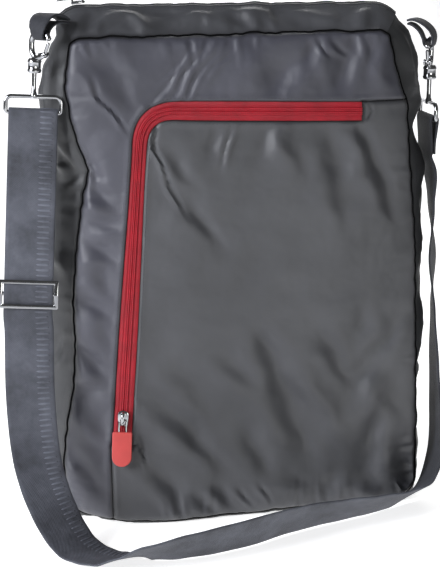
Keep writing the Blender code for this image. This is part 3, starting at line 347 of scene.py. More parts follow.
# Strap, from below the slide buckle to below the right ring, in three tables. X is a share of the half width
# and Y of the strap's reach to the front. Z is a share of the buckle's height in the first table, of the
# strap's width in the second and of the right ring's height in the third. The last three are the way across
STRAP_REACH = 0.1570
STRAP_LEFT = (
    (-1.1429, -0.3185, 0.8566, 1.00, 0.00, -0.03),
    (-1.1498, -0.3567, 0.6331, 1.00, 0.02, -0.03),
    (-1.1443, -0.3917, 0.4719, 0.99, 0.08, -0.06),
    (-1.1268, -0.4618, 0.3384, 0.97, 0.20, -0.03),
    (-1.0941, -0.5350, 0.2421, 0.95, 0.31, 0.05),
    (-1.0488, -0.6051, 0.1569, 0.89, 0.43, 0.11),
    (-0.9930, -0.6752, 0.0825, 0.83, 0.54, 0.13),
)
STRAP_FLOOR = (
    (-0.9303, -0.7516, 0.1684, 0.74, 0.66, 0.12),
    (-0.8537, -0.8344, 0.1053, 0.60, 0.80, 0.03),
    (-0.7700, -0.9076, 0.1263, 0.36, 0.93, -0.08),
    (-0.6829, -0.9650, 0.2263, 0.10, 0.94, -0.32),
    (-0.5645, -1.0000, 0.3421, -0.07, 0.81, -0.58),
    (-0.3763, -0.9803, 0.4053, -0.20, 0.66, -0.72),
    (-0.1742, -0.9191, 0.4316, -0.26, 0.57, -0.78),
    (0.0348, -0.8217, 0.4421, -0.30, 0.51, -0.80),
    (0.2648, -0.6847, 0.4316, -0.29, 0.58, -0.76),
    (0.4948, -0.5796, 0.4000, -0.25, 0.67, -0.70),
    (0.6969, -0.4968, 0.3684, -0.18, 0.75, -0.63),
    (0.8780, -0.3917, 0.3316, -0.12, 0.83, -0.54),
)
STRAP_RIGHT = (
    (1.0314, -0.2930, 0.0599, -0.12, 0.93, -0.33),
    (1.1164, -0.1943, 0.1277, -0.10, 0.98, -0.12),
    (1.1331, -0.1306, 0.2302, -0.04, 1.00, 0.00),
    (1.1317, -0.0955, 0.3563, 0.02, 1.00, 0.00),
    (1.1275, -0.0796, 0.4887, 0.12, 0.99, 0.00),
    (1.1247, -0.0701, 0.6275, 0.33, 0.94, 0.00),
    (1.1178, -0.0637, 0.7662, 0.08, 1.00, 0.00),
    (1.1108, -0.0605, 0.8513, -0.06, 0.99, 0.00),
)

# Hooks: centre of the wire at the top of the claw, turn of the claw about the vertical, its lean, and the
# turn of the ring
HOOKS = {
    "left": (Vector((-HALF_WIDTH - 0.0025, -0.0330, SEAM_HEIGHT + 0.0060)), -45.0, -3.6, -2.0),
    "right": (Vector((HALF_WIDTH + 0.0145, -0.0125, SEAM_HEIGHT - 0.0095)), -112.0, -2.0, 95.0),
}
# Tabs start on the shoulders: a little outside the ends of the front seam's top, and above it
TAB_BASES = {
    "left": Vector((-HALF_WIDTH * FRONT_SEAM[-1][1] - 0.0058, -0.0165, SEAM_HEIGHT + 0.0100)),
    "right": Vector((HALF_WIDTH * FRONT_SEAM[-1][2] + 0.0208, -0.0060, SEAM_HEIGHT + 0.0030)),
}
TAB_WIDTH = 0.0222
TAB_THICK = 0.0016
CHAIN_LENGTH = 0.1400
CHAIN_FORWARD = 6.0
STEM_OFF = -0.0060
RING_DROP = 0.0563

# Corners of a ring: side in X and Z, first angle in degrees, bend radius
RING_CORNERS = ((1, 1, 0, 0.0048), (-1, 1, 90, 0.0048), (-1, -1, 180, 0.0021), (1, -1, 270, 0.0021))
# Claw below its round top, from the gate's side to the back: X and Z in mm in the plane of the claw
CLAW_PATH = ((1.6, -18.9), (-2.0, -20.3), (-6.0, -19.6), (-8.8, -16.0))
HINGE = (4.6, -17.6)
# Outline of the cheeks that hold the gate, then the gate from its hinge to its tip, in mm from the hinge
CHEEK = ((-5.2, -3.0), (1.2, -2.4), (2.2, -1.2), (2.5, 0.0), (2.1, 1.4), (1.2, 2.2), (-4.4, 1.2))
GATE_PATH = ((0.0, 0.0), (1.8, 4.8), (3.9, 9.4))
# Barrel and swivel stem, turned about the stem's line: radius and Z in mm
BARREL = (
    (2.3, -32.0), (4.6, -32.0), (5.3, -31.2), (5.5, -30.0), (5.0, -29.0), (5.0, -24.4), (5.5, -23.6),
    (5.2, -22.2), (4.2, -20.8), (0.6, -20.3), (0.6, -24.4), (3.7, -24.4), (3.7, -28.0), (2.3, -28.0),
)
STEM = (
    (0.3, -51.5), (2.4, -51.5), (2.7, -49.8), (2.5, -48.0), (1.9, -46.5), (1.7, -40.0), (1.9, -28.6),
    (1.9, -27.6), (3.3, -27.6), (3.3, -24.9), (0.3, -24.9),
)
# Tab loops: share of the way from shoulder to claw, height over the claw's wire in mm, share of the width
TAB_PATH = {
    "left": (
        (0.00, 7.5, 0.68), (0.30, 10.5, 0.90), (0.60, 12.5, 1.00), (0.85, 11.5, 1.00), (1.03, 8.5, 0.95),
        (1.13, 4.5, 0.82), (1.16, -0.5, 0.64), (1.145, -3.6, 0.52), (1.08, -5.5, 0.47), (1.00, -6.2, 0.47),
        (0.92, -5.6, 0.47), (0.85, -3.4, 0.47), (0.80, 0.5, 0.50), (0.60, 5.0, 0.64), (0.30, 6.0, 0.72),
        (0.02, 5.0, 0.68),
    ),
    "right": (
        (0.00, 15.0, 0.68), (0.30, 15.5, 0.90), (0.60, 14.0, 1.00), (0.90, 10.8, 1.00), (1.13, 6.5, 0.95),
        (1.23, 1.5, 0.80), (1.22, -2.5, 0.60), (1.19, -4.4, 0.50), (1.10, -5.8, 0.47), (1.00, -6.2, 0.47),
        (0.90, -5.8, 0.47), (0.79, -3.8, 0.47), (0.73, 0.5, 0.50), (0.56, 6.5, 0.60), (0.28, 11.0, 0.68),
        (0.02, 12.5, 0.68),
    ),
}


# Lines, bends and ways
def distances(points):
    """How far along a line of points each of them is."""
    return np.concatenate([[0], np.cumsum(np.linalg.norm(np.diff(points, axis=0), axis=1))])


def closed_ring(ring):
    """The ring with its first point once more at its end."""
    return np.concatenate([ring, ring[:1]])


def unit(ways):
    """The same ways, each with a length of 1."""
    return ways / np.maximum(np.linalg.norm(ways, axis=-1, keepdims=True), 1e-12)


def arc(radius, angles, x=0.0, y=0.0):
    """Points on a round bend about a centre, at these angles in degrees."""
    turns = [math.radians(angle) for angle in angles]
    return [(x + radius * math.cos(turn), y + radius * math.sin(turn)) for turn in turns]


def eased(a, b, go, come, s):
    """Share s of a smooth stretch from a to b that sets off along go and arrives along come."""
    spot = a * (2 * s**3 - 3 * s**2 + 1) + b * (3 * s**2 - 2 * s**3)
    return spot + go * (s**3 - 2 * s**2 + s) + come * (s**3 - s**2)


def hump(off, width):
    """1 in the middle of a mark, and nearly gone at twice its width."""
    return np.exp(-((off / width) ** 2))


def slopes(height, x, z, step, *details):
    """How a surface's Y changes with X and with Z."""
    slope_x = (height(x + step, z, *details) - height(x - step, z, *details)) / (2 * step)
    return slope_x, (height(x, z + step, *details) - height(x, z - step, *details)) / (2 * step)


# Reading the tables
def along(table, column, share):
    """A smooth value at each share, from the rows of a table whose first column is a share."""
    rows = np.array(table, dtype=float)
    spots, values = rows[:, 0], rows[:, column]
    share = np.clip(share, spots[0], spots[-1])
    low = np.clip(np.searchsorted(spots, share, side="right") - 1, 0, len(spots) - 2)
    rates = np.empty(len(values))
    rates[1:-1] = (values[2:] - values[:-2]) / (spots[2:] - spots[:-2])
    rates[0] = (values[1] - values[0]) / (spots[1] - spots[0])
    rates[-1] = (values[-1] - values[-2]) / (spots[-1] - spots[-2])
    width = spots[low + 1] - spots[low]
    s = (share - spots[low]) / width
    return eased(values[low], values[low + 1], width * rates[low], width * rates[low + 1], s)


def corner_inset(z):
    """How far a rounded corner draws the side edge in at this height."""
    up = np.clip(BASE_CORNER - (z - BASE_LIFT), 0, BASE_CORNER)
    down = np.clip(TOP_CORNER - (SEAM_HEIGHT - z), 0, TOP_CORNER)
    return (BASE_CORNER - np.sqrt(BASE_CORNER**2 - up**2)) + (TOP_CORNER - np.sqrt(TOP_CORNER**2 - down**2))


def side_edge(table, side, z):
    """X of the seam at this height: side is -1 for the left and 1 for the right."""
    clamped = np.clip(z, BASE_LIFT + BASE_CORNER, SEAM_HEIGHT - TOP_CORNER)
    return side * (HALF_WIDTH * along(table, 1 if side < 0 else 2, clamped / SEAM_HEIGHT) - corner_inset(z))


def panel_place(table, x, z):
    """Where a point lies across and up a panel, both from -1 to 1."""
    left, right = side_edge(table, -1, z), side_edge(table, 1, z)
    across = (2 * x - left - right) / (right - left)
    up = 2 * (z - BASE_LIFT) / (SEAM_HEIGHT - BASE_LIFT) - 1
    return np.clip(across, -1, 1), np.clip(up, -1, 1)


# Ripples, folds and gathers
def seam_roll(off):
    """How far the cloth rolls up out of a seam, by its distance from it."""
    return SEAM_ROLL * (1 - np.exp(-((off / 0.0010) ** 1.5))) * np.exp(-off / 0.025)


def seam_shade(off, strength=0.95, reach=0.0015):
    """Painted shade: how much of the cloth's own tone shows this near a seam or a turned edge, from 0 to 1.
    """
    return 1 - strength * hump(off, reach)


def ripple(a, b, size, seed, count=9):
    """A smooth uneven field of about -1 to 1 whose waves are roughly this size."""
    dice = np.random.default_rng(seed)
    total = np.zeros(np.broadcast(a, b).shape)
    for _ in range(count):
        turn, phase = dice.uniform(0, 2 * math.pi, 2)
        wave = 2 * math.pi / (size * dice.uniform(0.7, 1.4))
        total += np.cos(wave * (a * math.cos(turn) + b * math.sin(turn)) + phase)
    return total / math.sqrt(count / 2) / 1.6


def string_ripple(s, size, seed, count=7):
    """The same along a line."""
    return ripple(s, np.zeros_like(s), size, seed, count)


def fold_sum(rows, a, b, wide, high):
    """The sum of a table's folds at these places, in metres: a valley with a low ridge beside each."""
    a = a + 0.0022 * ripple(a, b, 0.034, 11)
    b = b + 0.0022 * ripple(a, b, 0.037, 12)
    total = np.zeros(np.broadcast(a, b).shape)
    for a_share, b_share, half, angle, width, depth in rows:
        da, db = a - a_share * wide, b - b_share * high
        c, s = math.cos(math.radians(angle)), math.sin(math.radians(angle))
        run = (da * c + db * s) / (half * SEAM_HEIGHT)
        off = (-da * s + db * c) / (width * MM) * (1 + 0.25 * run)
        shape = hump(off, 1.0) - 0.7 * hump(off + 1.8, 1.15)
        total += depth * MM * shape * np.exp(-np.abs(run) ** 2.4)
    return total


def crumple(a, b, strength, seed):
    """Broad swells with thin soft creases between them, in metres."""
    swell = 0.9 * MM * ripple(a, b, 0.085, seed) + 0.35 * MM * ripple(a, b, 0.034, seed + 1)
    lines = np.clip(1 - np.abs(ripple(a, b, 0.055, seed + 2)) * 3.2, 0, 1) ** 2
    small = np.clip(1 - np.abs(ripple(a, b, 0.026, seed + 3)) * 3.0, 0, 1) ** 2
    mask = np.clip(0.5 + 0.7 * ripple(a, b, 0.11, seed + 4), 0, 1)
    return strength * (swell + 0.50 * MM * lines * mask - 0.28 * MM * small * (1 - mask))


def gathers(s, d, pitch, reach, seed):
    """Puckers that run away from a seam, in metres: uneven along it and gone past their reach."""
    strength = np.clip(0.55 + 0.9 * string_ripple(s, 0.070, seed), 0, 1.5)
    slant = s + 0.35 * d * string_ripple(s, 0.050, seed + 1)
    wave = string_ripple(slant, pitch, seed + 2)
    sharp = np.sign(wave) * np.abs(wave) ** 0.8
    return MM * strength * sharp * (d / (d + 0.0022)) * np.exp(-((d / reach) ** 1.3))


def line_distance(a, b, line):
    """The distance of each place to a line of points, and how far along the line the nearest place is."""
    line = np.asarray(line)
    start, run = line[:-1], np.diff(line, axis=0)
    size = np.maximum((run**2).sum(1), 1e-14)
    steps = np.concatenate([[0], np.cumsum(np.sqrt(size))])[:-1]
    flat_a, flat_b = np.ravel(a), np.ravel(b)
    best, spot = np.empty(len(flat_a)), np.empty(len(flat_a))
    for low in range(0, len(flat_a), 3000):
        da = flat_a[low:low + 3000, None] - start[:, 0]
        db = flat_b[low:low + 3000, None] - start[:, 1]
        share = np.clip((da * run[:, 0] + db * run[:, 1]) / size, 0, 1)
        off = (da - share * run[:, 0]) ** 2 + (db - share * run[:, 1]) ** 2
        near = off.argmin(1)
        rows = np.arange(len(near))
        best[low:low + 3000] = np.sqrt(off[rows, near])
        spot[low:low + 3000] = steps[near] + share[rows, near] * np.sqrt(size[near])
    return best.reshape(np.shape(a)), spot.reshape(np.shape(a))


# The pocket zip's line on the front
def zip_line(step):
    """Stations of the zip from its right end to its lower end, and the way across toward the outside."""
    right, corner, low = (np.array(spot) for spot in (ZIP_TOP_RIGHT, ZIP_CORNER, ZIP_BOTTOM))
    level, down = unit(corner - right), unit(low - corner)
    start, stop = corner - level * ZIP_BEND, corner + down * ZIP_BEND
    first = np.linspace(right, start, max(3, int(np.linalg.norm(start - right) / step)))
    s = np.linspace(0, 1, max(5, int(1.6 * ZIP_BEND / step)))[:, None]
    bend = start * (1 - s) ** 2 + corner * 2 * s * (1 - s) + stop * s**2
    last = np.linspace(stop, low, max(3, int(np.linalg.norm(stop - low) / step)))
    spots = np.concatenate([first[:-1], bend, last[1:]])
    run = unit(np.gradient(spots, axis=0))
    return spots, np.stack([run[:, 1], -run[:, 0]], axis=1)


ZIP_SPOTS, ZIP_OUT = zip_line(0.0022)
ZIP_RUN = distances(ZIP_SPOTS)
ZIP_LENGTH = ZIP_RUN[-1]


def zip_half(run):
    """Half the width of the zip that shows between the cloth edges, this far along it from its right end."""
    return ZIP_WIDTH / 2 * along(ZIP_SHOWS, 1, run / ZIP_LENGTH)


def zip_edge(side):
    """The cloth edge beside the zip: side is 1 for the outer one and -1 for the inner one."""
    half = zip_half(ZIP_RUN) + GAP / 2
    return ZIP_SPOTS + ZIP_OUT * side * half[:, None]


def seam_rise(x):
    """Z of the seam to the right of the pocket zip."""
    first = ZIP_SPOTS[0] + ZIP_OUT[0] * (ZIP_WIDTH + GAP) / 2
    edge = side_edge(FRONT_SEAM, 1, POCKET_SEAM_RIGHT)
    return POCKET_SEAM_RIGHT + (first[1] - POCKET_SEAM_RIGHT) * (edge - x) / (edge - first[0])


# Surfaces of the front and the back
def pillow(across, up):
    """How far a panel stands out at a place, from 0 at its seams to 1 in the middle."""
    return ((1 - np.abs(across) ** 3.2) * (1 - np.abs(up) ** 4.0)) ** 0.6


def front_details(x, z):
    """Resting folds, gathers and seam valleys of the front, in metres: positive is into the bag."""
    zip_off, zip_run = line_distance(x, z, ZIP_SPOTS)
    seam_off, seam_run = line_distance(x, z, closed_ring(FRONT_RING))
    into = panel_rest("front", *panel_place(FRONT_SEAM, x, z))
    edge = np.clip(zip_off - zip_half(zip_run), 0, None)
    into += CREASE_SHARE * fold_sum(FRONT_CREASES, x, z, HALF_WIDTH, SEAM_HEIGHT)
    into += 0.45 * gathers(zip_run, edge, 0.013, 0.010, 70) * (edge > 0)
    base = np.clip((0.10 - z) / 0.10, 0, 1)
    top = np.clip((z - 0.35) / 0.02, 0, 1)
    into += (0.8 + 1.2 * base + 0.1 * top) * gathers(seam_run, seam_off, 0.010, 0.014, 80)
    into *= 1 - hump(seam_off, SEAM_HOLD)
    into -= seam_roll(seam_off)
    for line in pocket_seams():
        off, _ = line_distance(x, z, line)
        into += 0.0011 * hump(off, 0.0013) - 0.0004 * hump(off - 0.0032, 0.0016)
    lip = 0.0007 * hump(edge, 0.0008) - 0.0006 * hump(edge - 0.0026, 0.0018)
    return into + lip * (zip_off < 0.016)


def pocket_seams():
    """The two short seams that run on from the pocket zip to the outer seam, in X and Z."""
    right = np.stack([[0.0995, 0.14], [seam_rise(0.0995), seam_rise(0.14)]], axis=1)
    low = np.array([[POCKET_SEAM_BASE, ZIP_BOTTOM[1]], [POCKET_SEAM_BASE, 0.0]])
    return right, low


def front_shade(x, z):
    """Painted shade: how much of the cloth's own tone shows at a place of the front, in its seams and beside
    the zip.
    """
    seam_off, _ = line_distance(x, z, closed_ring(FRONT_RING))
    zip_off, zip_run = line_distance(x, z, ZIP_SPOTS)
    painted_shade = seam_shade(seam_off) * seam_shade(np.abs(zip_off - zip_half(zip_run)), 0.80, 0.0010)
    for line in pocket_seams():
        off, _ = line_distance(x, z, line)
        painted_shade *= seam_shade(off, 0.85, 0.0011)
    return painted_shade


def back_shade(x, z):
    """The same painted shade for the back."""
    off, _ = line_distance(x, z, closed_ring(BACK_RING))
    return seam_shade(off)


def front_y(x, z, details=True):
    """Y of the front at these places."""
    across, up = panel_place(FRONT_SEAM, x, z)
    bow = along(BOW_FRONT, 1, across) * MM * np.exp(-(z - BASE_LIFT) / 0.045)
    into = front_details(x, z) if details else 0.0
    return -(HALF_DEPTH + bow + CROWN_FRONT * pillow(across, up) - into)


def back_y(x, z, details=True):
    """Y of the back at these places."""
    across, up = panel_place(BACK_SEAM, x, z)
    bow = BOW_BACK * (1 - across**2) * np.exp(-(z - BASE_LIFT) / 0.045)
    into = 0.0
    if details:
        off, run = line_distance(x, z, closed_ring(BACK_RING))
        into = panel_rest("back", across, up) + 0.8 * gathers(run, off, 0.012, 0.014, 90)
        into *= 1 - hump(off, SEAM_HOLD)
        into -= seam_roll(off)
    return HALF_DEPTH + bow + CROWN_BACK * pillow(across, up) - into


# The ring of seam stations, drawn finer than in the solids: how many reach up to the pocket's seam on the
# right, and how many reach its seam at the base
SIDE_STATIONS = 110
BASE_STATIONS = 6


def corner_arc(centre_x, centre_z, radius, first, last, count):
    """Points of a rounded corner between two angles, without its ends."""
    return arc(radius, np.linspace(first, last, count + 2)[1:-1], centre_x, centre_z)


def seam_ring(table):
    """Seam points in X and Z, with the index of each stretch's first one: left, base, right, then the top."""
    low, high = BASE_LIFT + BASE_CORNER, SEAM_HEIGHT - TOP_CORNER
    heights = np.concatenate([
        np.linspace(low, POCKET_SEAM_RIGHT, SIDE_STATIONS),
        np.linspace(POCKET_SEAM_RIGHT, high, 17)[1:],
    ])
    left_x, right_x = side_edge(table, -1, low), side_edge(table, 1, low)
    left_top, right_top = side_edge(table, -1, high), side_edge(table, 1, high)
    base_x = np.concatenate([
        np.linspace(left_x + BASE_CORNER, POCKET_SEAM_BASE, BASE_STATIONS),
        np.linspace(POCKET_SEAM_BASE, right_x - BASE_CORNER, 84)[1:],
    ])
    top_x = np.linspace(right_top - TOP_CORNER, left_top + TOP_CORNER, 92)
    parts = {
        "left": np.stack([side_edge(table, -1, heights[::-1]), heights[::-1]], axis=1),
        "base_left": corner_arc(left_x + BASE_CORNER, low, BASE_CORNER, 180, 270, 11),
        "base": np.stack([base_x, np.full(len(base_x), BASE_LIFT)], axis=1),
        "base_right": corner_arc(right_x - BASE_CORNER, low, BASE_CORNER, 270, 360, 11),
        "right": np.stack([side_edge(table, 1, heights), heights], axis=1),
        "shoulder_right": corner_arc(right_top - TOP_CORNER, high, TOP_CORNER, 0, 90, 7),
        "top": np.stack([top_x, np.full(len(top_x), SEAM_HEIGHT)], axis=1),
        "shoulder_left": corner_arc(left_top + TOP_CORNER, high, TOP_CORNER, 90, 180, 7),
    }
    marks, start = {}, 0
    for name, points in parts.items():
        marks[name] = start
        start += len(points)
    return np.concatenate(list(parts.values())), marks


def waved(ring, seed):
    """The same ring pulled to and fro a little by its stitches, and pinched in at the fold on the left."""
    x, z = ring[:, 0], ring[:, 1]
    way = unit(ring - np.array([0.0, SEAM_HEIGHT / 2]))
    pinch = PINCH_DEPTH * np.exp(-np.abs(z - PINCH_SHARE * SEAM_HEIGHT) / 0.007) * (x < 0)
    shift = SEAM_WAVE * (ripple(x, z, 0.021, seed) + 0.5 * ripple(x, z, 0.011, seed + 1))
    return ring + way * shift[:, None] + np.stack([pinch, np.zeros(len(ring))], axis=1)


FRONT_RING, MARKS = seam_ring(FRONT_SEAM)
BACK_RING, _ = seam_ring(BACK_SEAM)
FRONT_RING, BACK_RING = waved(FRONT_RING, 21), waved(BACK_RING, 25)
COUNT = len(FRONT_RING)
RIGHT_SHOULDER = MARKS["shoulder_right"] + 3
LEFT_SHOULDER = MARKS["shoulder_left"] + 3
POCKET_STATION_RIGHT = MARKS["right"] + SIDE_STATIONS - 1
POCKET_STATION_BASE = MARKS["base"] + BASE_STATIONS - 1


def ring_normals():
    """The way out of the bag in X and Z at every station."""
    both = FRONT_RING + BACK_RING
    run = unit(np.roll(both, -2, axis=0) - np.roll(both, 2, axis=0))
    return np.stack([run[:, 1], -run[:, 0]], axis=1)


RING_OUT = ring_normals()


def ring_bulge():
    """At every station: how far the gusset stands out, how roof-like it is and how flat."""
    x, z = FRONT_RING[:, 0], FRONT_RING[:, 1]
    up = RING_OUT[:, 1]
    left = x < 0
    side = SIDE_BULGE * np.where(left, along(GUSSET, 1, z / SEAM_HEIGHT), along(GUSSET, 2, z / SEAM_HEIGHT))
    across = (x / HALF_WIDTH + 1) / 2
    top = RIDGE_RISE * (RIDGE_SHARE[0] + (RIDGE_SHARE[1] - RIDGE_SHARE[0]) * across)
    corner = SIDE_BULGE * np.where(left, CORNER_BULGE[0], CORNER_BULGE[1])
    flat = np.where(up < 0, np.minimum(1.0, -up * 1.15), 0.0)
    roof = np.where(up < 0, 0.0, np.minimum(1.0, up))
    swing = np.abs(2 * roof - 1)
    above = corner * (1 - swing) + swing * np.where(roof > 0.5, top, side)
    below = side * (1 - flat) + (BASE_LIFT + 0.004) * flat
    return np.where(up < 0, below, above), roof, flat


def gusset_grid(first, last, shares, folds=True):
    """Points of the gusset surface: a row for each station from first to last, a column for each share."""
    index = np.arange(first, last + 1) % COUNT
    t = np.asarray(shares)[None, :]
    front, back, out = FRONT_RING[index], BACK_RING[index], RING_OUT[index]
    bulge, roof, flat = (values[index][:, None] for values in ring_bulge())
    edge = np.minimum(t, 1 - t)
    round_side = np.sin(math.pi * t) ** 0.75
    ridge = np.minimum(1.0, edge / RIDGE_FROM) ** 0.85
    floor = np.minimum(1.0, edge / 0.07)
    rise = bulge * (round_side * (1 - roof - flat) + ridge * roof + floor * flat)
    x = front[:, :1] * (1 - t) + back[:, :1] * t + out[:, :1] * rise
    z = front[:, 1:] * (1 - t) + back[:, 1:] * t + out[:, 1:] * rise
    y = front_y(front[:, :1], front[:, 1:], False) * (1 - t) + back_y(back[:, :1], back[:, 1:], False) * t
    points = np.stack([x, y + 0 * x, np.maximum(0.0, z)], axis=2)
    if folds:
        points -= grid_normals(points) * gusset_details(index, t, roof, flat)[:, :, None]
        points[:, :, 2] = np.maximum(0.0, points[:, :, 2])
    return points


def gusset_details(index, t, roof, flat, plain=False):
    """Folds and gathers of the gusset in metres. Positive is into the bag, plain is before rest."""
    run = distances(closed_ring(FRONT_RING))[:-1][index][:, None] + 0 * t
    depth = 2 * HALF_DEPTH
    x = FRONT_RING[index][:, :1] + 0 * t
    z = FRONT_RING[index][:, 1:] + 0 * t
    deep = t * depth + 0 * x
    left = fold_sum(LEFT_FOLDS, deep, z, depth, SEAM_HEIGHT) * (x < 0)
    right = fold_sum(RIGHT_FOLDS, deep, z, depth, SEAM_HEIGHT) * (x > 0)
    top = fold_sum(TOP_FOLDS, x, deep, HALF_WIDTH, depth)
    edge = np.minimum(t, 1 - t) * depth
    ridge_off = np.clip(RIDGE_FROM - np.minimum(t, 1 - t), 0, 1) * depth
    calm = np.where(roof > 0.5, 1 - hump(ridge_off, 0.004), 1.0)
    keep = (1 - flat) * (1 - hump(edge, SEAM_HOLD)) * calm
    if plain:
        return ((left + right) * (1 - roof) + top * roof + crumple(run, deep, 1.5, 130)) * keep
    roll = seam_roll(edge) * (1 - flat)
    rest = rest_map("gusset")
    into = sampled(rest, index[:, None] + 0 * t, t * (rest.shape[1] - 1) + 0 * x)
    return (into + 0.8 * gathers(run, edge, 0.012, 0.010, 120)) * keep - roll


# Cloth that comes to rest, by simulation
REST_MAPS = {}
REST_SCALE = 10.0


def rest_map(name):
    """The offsets into the bag of this part's cloth once it has come to rest, worked out once."""
    if name not in REST_MAPS:
        REST_MAPS[name] = {"front": rest_front, "back": rest_back, "gusset": rest_gusset}[name]()
    return REST_MAPS[name]


def cubic_weights(s):
    """The weights of four neighbours in a smooth curve, a share of the way from the second to the third."""
    return (1 - s) ** 3 / 6, (3 * s**3 - 6 * s**2 + 4) / 6, (-3 * s**3 + 3 * s**2 + 3 * s + 1) / 6, s**3 / 6


def sampled(grid, row, column):
    """A smooth value of a grid at rows and columns that need not be whole."""
    rows, columns = grid.shape
    r, c = np.floor(row).astype(int), np.floor(column).astype(int)
    total = 0.0
    for i, row_weight in enumerate(cubic_weights(row - r)):
        for j, column_weight in enumerate(cubic_weights(column - c)):
            spot = np.clip(r + i - 1, 0, rows - 1), np.clip(c + j - 1, 0, columns - 1)
            total = total + row_weight * column_weight * grid[spot]
    return total


def panel_rest(name, across, up):
    """The same at places across and up a panel, both from -1 to 1."""
    rest = rest_map(name)
    return sampled(rest, (up + 1) / 2 * (rest.shape[0] - 1), (across + 1) / 2 * (rest.shape[1] - 1))


def settled(start, cut, held, faces, frames):
    """Where a cloth comes to rest: it starts at these points, is cut to those and is held at some of them."""
    scene = bpy.context.scene
    mesh = bpy.data.meshes.new("resting_cloth")
    mesh.from_pydata((start.reshape(-1, 3) * REST_SCALE).tolist(), [], faces)
    piece = added("resting_cloth", mesh)
    piece.shape_key_add(name="start")
    shape = piece.shape_key_add(name="cut")
    shape.data.foreach_set("co", (cut.reshape(-1, 3) * REST_SCALE).ravel())
    shape.value = 0.0
    pins = piece.vertex_groups.new(name="held")
    pins.add(np.flatnonzero(held.ravel()).tolist(), 1.0, "REPLACE")
    step = piece.modifiers.new("cloth", "CLOTH")
    cloth = step.settings
    cloth.quality = 5
    cloth.mass = 0.3
    cloth.air_damping = 3.0
    cloth.tension_stiffness = cloth.compression_stiffness = 40.0
    cloth.shear_stiffness = 15.0
    cloth.tension_damping = cloth.compression_damping = cloth.shear_damping = 8.0
    cloth.bending_stiffness = 25.0
    cloth.bending_damping = 0.5
    cloth.vertex_group_mass = "held"
    cloth.rest_shape_key = shape
    cloth.use_pressure = True
    cloth.uniform_pressure_force = 0.03
    cloth.effector_weights.gravity = 0.0
    step.collision_settings.use_collision = False
    step.point_cache.frame_end = frames
    for number in range(1, frames + 1):
        scene.frame_set(number)
    result = piece.evaluated_get(bpy.context.evaluated_depsgraph_get()).to_mesh()
    spots = np.empty(start.size)
    result.vertices.foreach_get("co", spots)
    bpy.data.objects.remove(piece)
    scene.frame_set(1)
    return spots.reshape(start.shape) / REST_SCALE


def panel_net(table, rows, columns):
    """X, Z and the places of an even net over a panel."""
    v, u = np.meshgrid(np.linspace(0, 1, rows), np.linspace(0, 1, columns), indexing="ij")
    z = BASE_LIFT + (SEAM_HEIGHT - BASE_LIFT) * v
    left, right = side_edge(table, -1, z), side_edge(table, 1, z)
    border = (u == 0) | (u == 1) | (v == 0) | (v == 1)
    return left + (right - left) * u, z, border


def rest_front():
    """Offsets of the front cloth, on an even net over the panel."""
    x, z, border = panel_net(FRONT_SEAM, 137, 103)
    plain = front_y(x, z, False)
    zip_off, _ = line_distance(x, z, ZIP_SPOTS)
    calm = 1 - hump(zip_off, 0.014)
    folds = FOLD_SHARE * fold_sum(FRONT_FOLDS, x, z, HALF_WIDTH, SEAM_HEIGHT)
    folds += 0.5 * MM * ripple(x, z, 0.045, 5) + crumple(x, z, 0.8, 140)
    held = border | (zip_off < 0.0085)
    start = np.stack([x, plain + folds * calm * ~held, z], axis=2)
    rest = settled(start, start * FRONT_CUT, held, grid_faces(*x.shape), 40)
    return np.clip(rest[:, :, 1] - plain, -REST_CAP, REST_CAP)


def rest_back():
    """The same for the back."""
    x, z, border = panel_net(BACK_SEAM, 80, 60)
    plain = back_y(x, z, False)
    folds = FOLD_SHARE * fold_sum(BACK_FOLDS, x, z, HALF_WIDTH, SEAM_HEIGHT)
    folds += 1.2 * MM * ripple(x, z, 0.075, 7) + 0.5 * MM * ripple(x, z, 0.030, 8)
    start = np.stack([x, plain - folds * ~border, z], axis=2)
    rest = settled(start, start * FRONT_CUT, border, grid_faces(*x.shape), 30)
    return np.clip(plain - rest[:, :, 1], -REST_CAP, REST_CAP)


def rest_gusset():
    """The same for the whole ring of gusset and top, with a row for each station."""
    columns = 23
    shares = np.linspace(0, 1, columns)
    plain = gusset_grid(0, COUNT - 1, shares, False)
    wrapped = np.concatenate([plain[-2:], plain, plain[:2]])
    normal = grid_normals(wrapped)[2:-2]
    index, t = np.arange(COUNT), shares[None, :]
    _, roof, flat = (values[:, None] for values in ring_bulge())
    edge = np.minimum(t, 1 - t)
    held = (edge < 1e-6) | ((roof > 0.5) & (edge > RIDGE_FROM - 0.01)) | (flat > 0.3)
    held = np.broadcast_to(held, plain.shape[:2])
    folds = FOLD_SHARE * gusset_details(index, t, roof, flat, True) * ~held
    start = plain - normal * folds[:, :, None]
    faces = grid_faces(COUNT, columns)
    last = (COUNT - 1) * columns
    faces += [(last + c, last + c + 1, c + 1, c) for c in range(columns - 1)]
    rest = settled(start, start * GUSSET_CUT, held, faces, 40)
    return np.clip(((plain - rest) * normal).sum(2), -REST_CAP, REST_CAP)


# Making meshes
def grid_normals(points):
    """Outward normals of a grid whose rows go round the bag and whose columns go from front to back."""
    return unit(np.cross(np.gradient(points, axis=0), np.gradient(points, axis=1)))


def added(name, data):
    """A new object in the scene."""
    made = bpy.data.objects.new(name, data)
    bpy.context.scene.collection.objects.link(made)
    return made


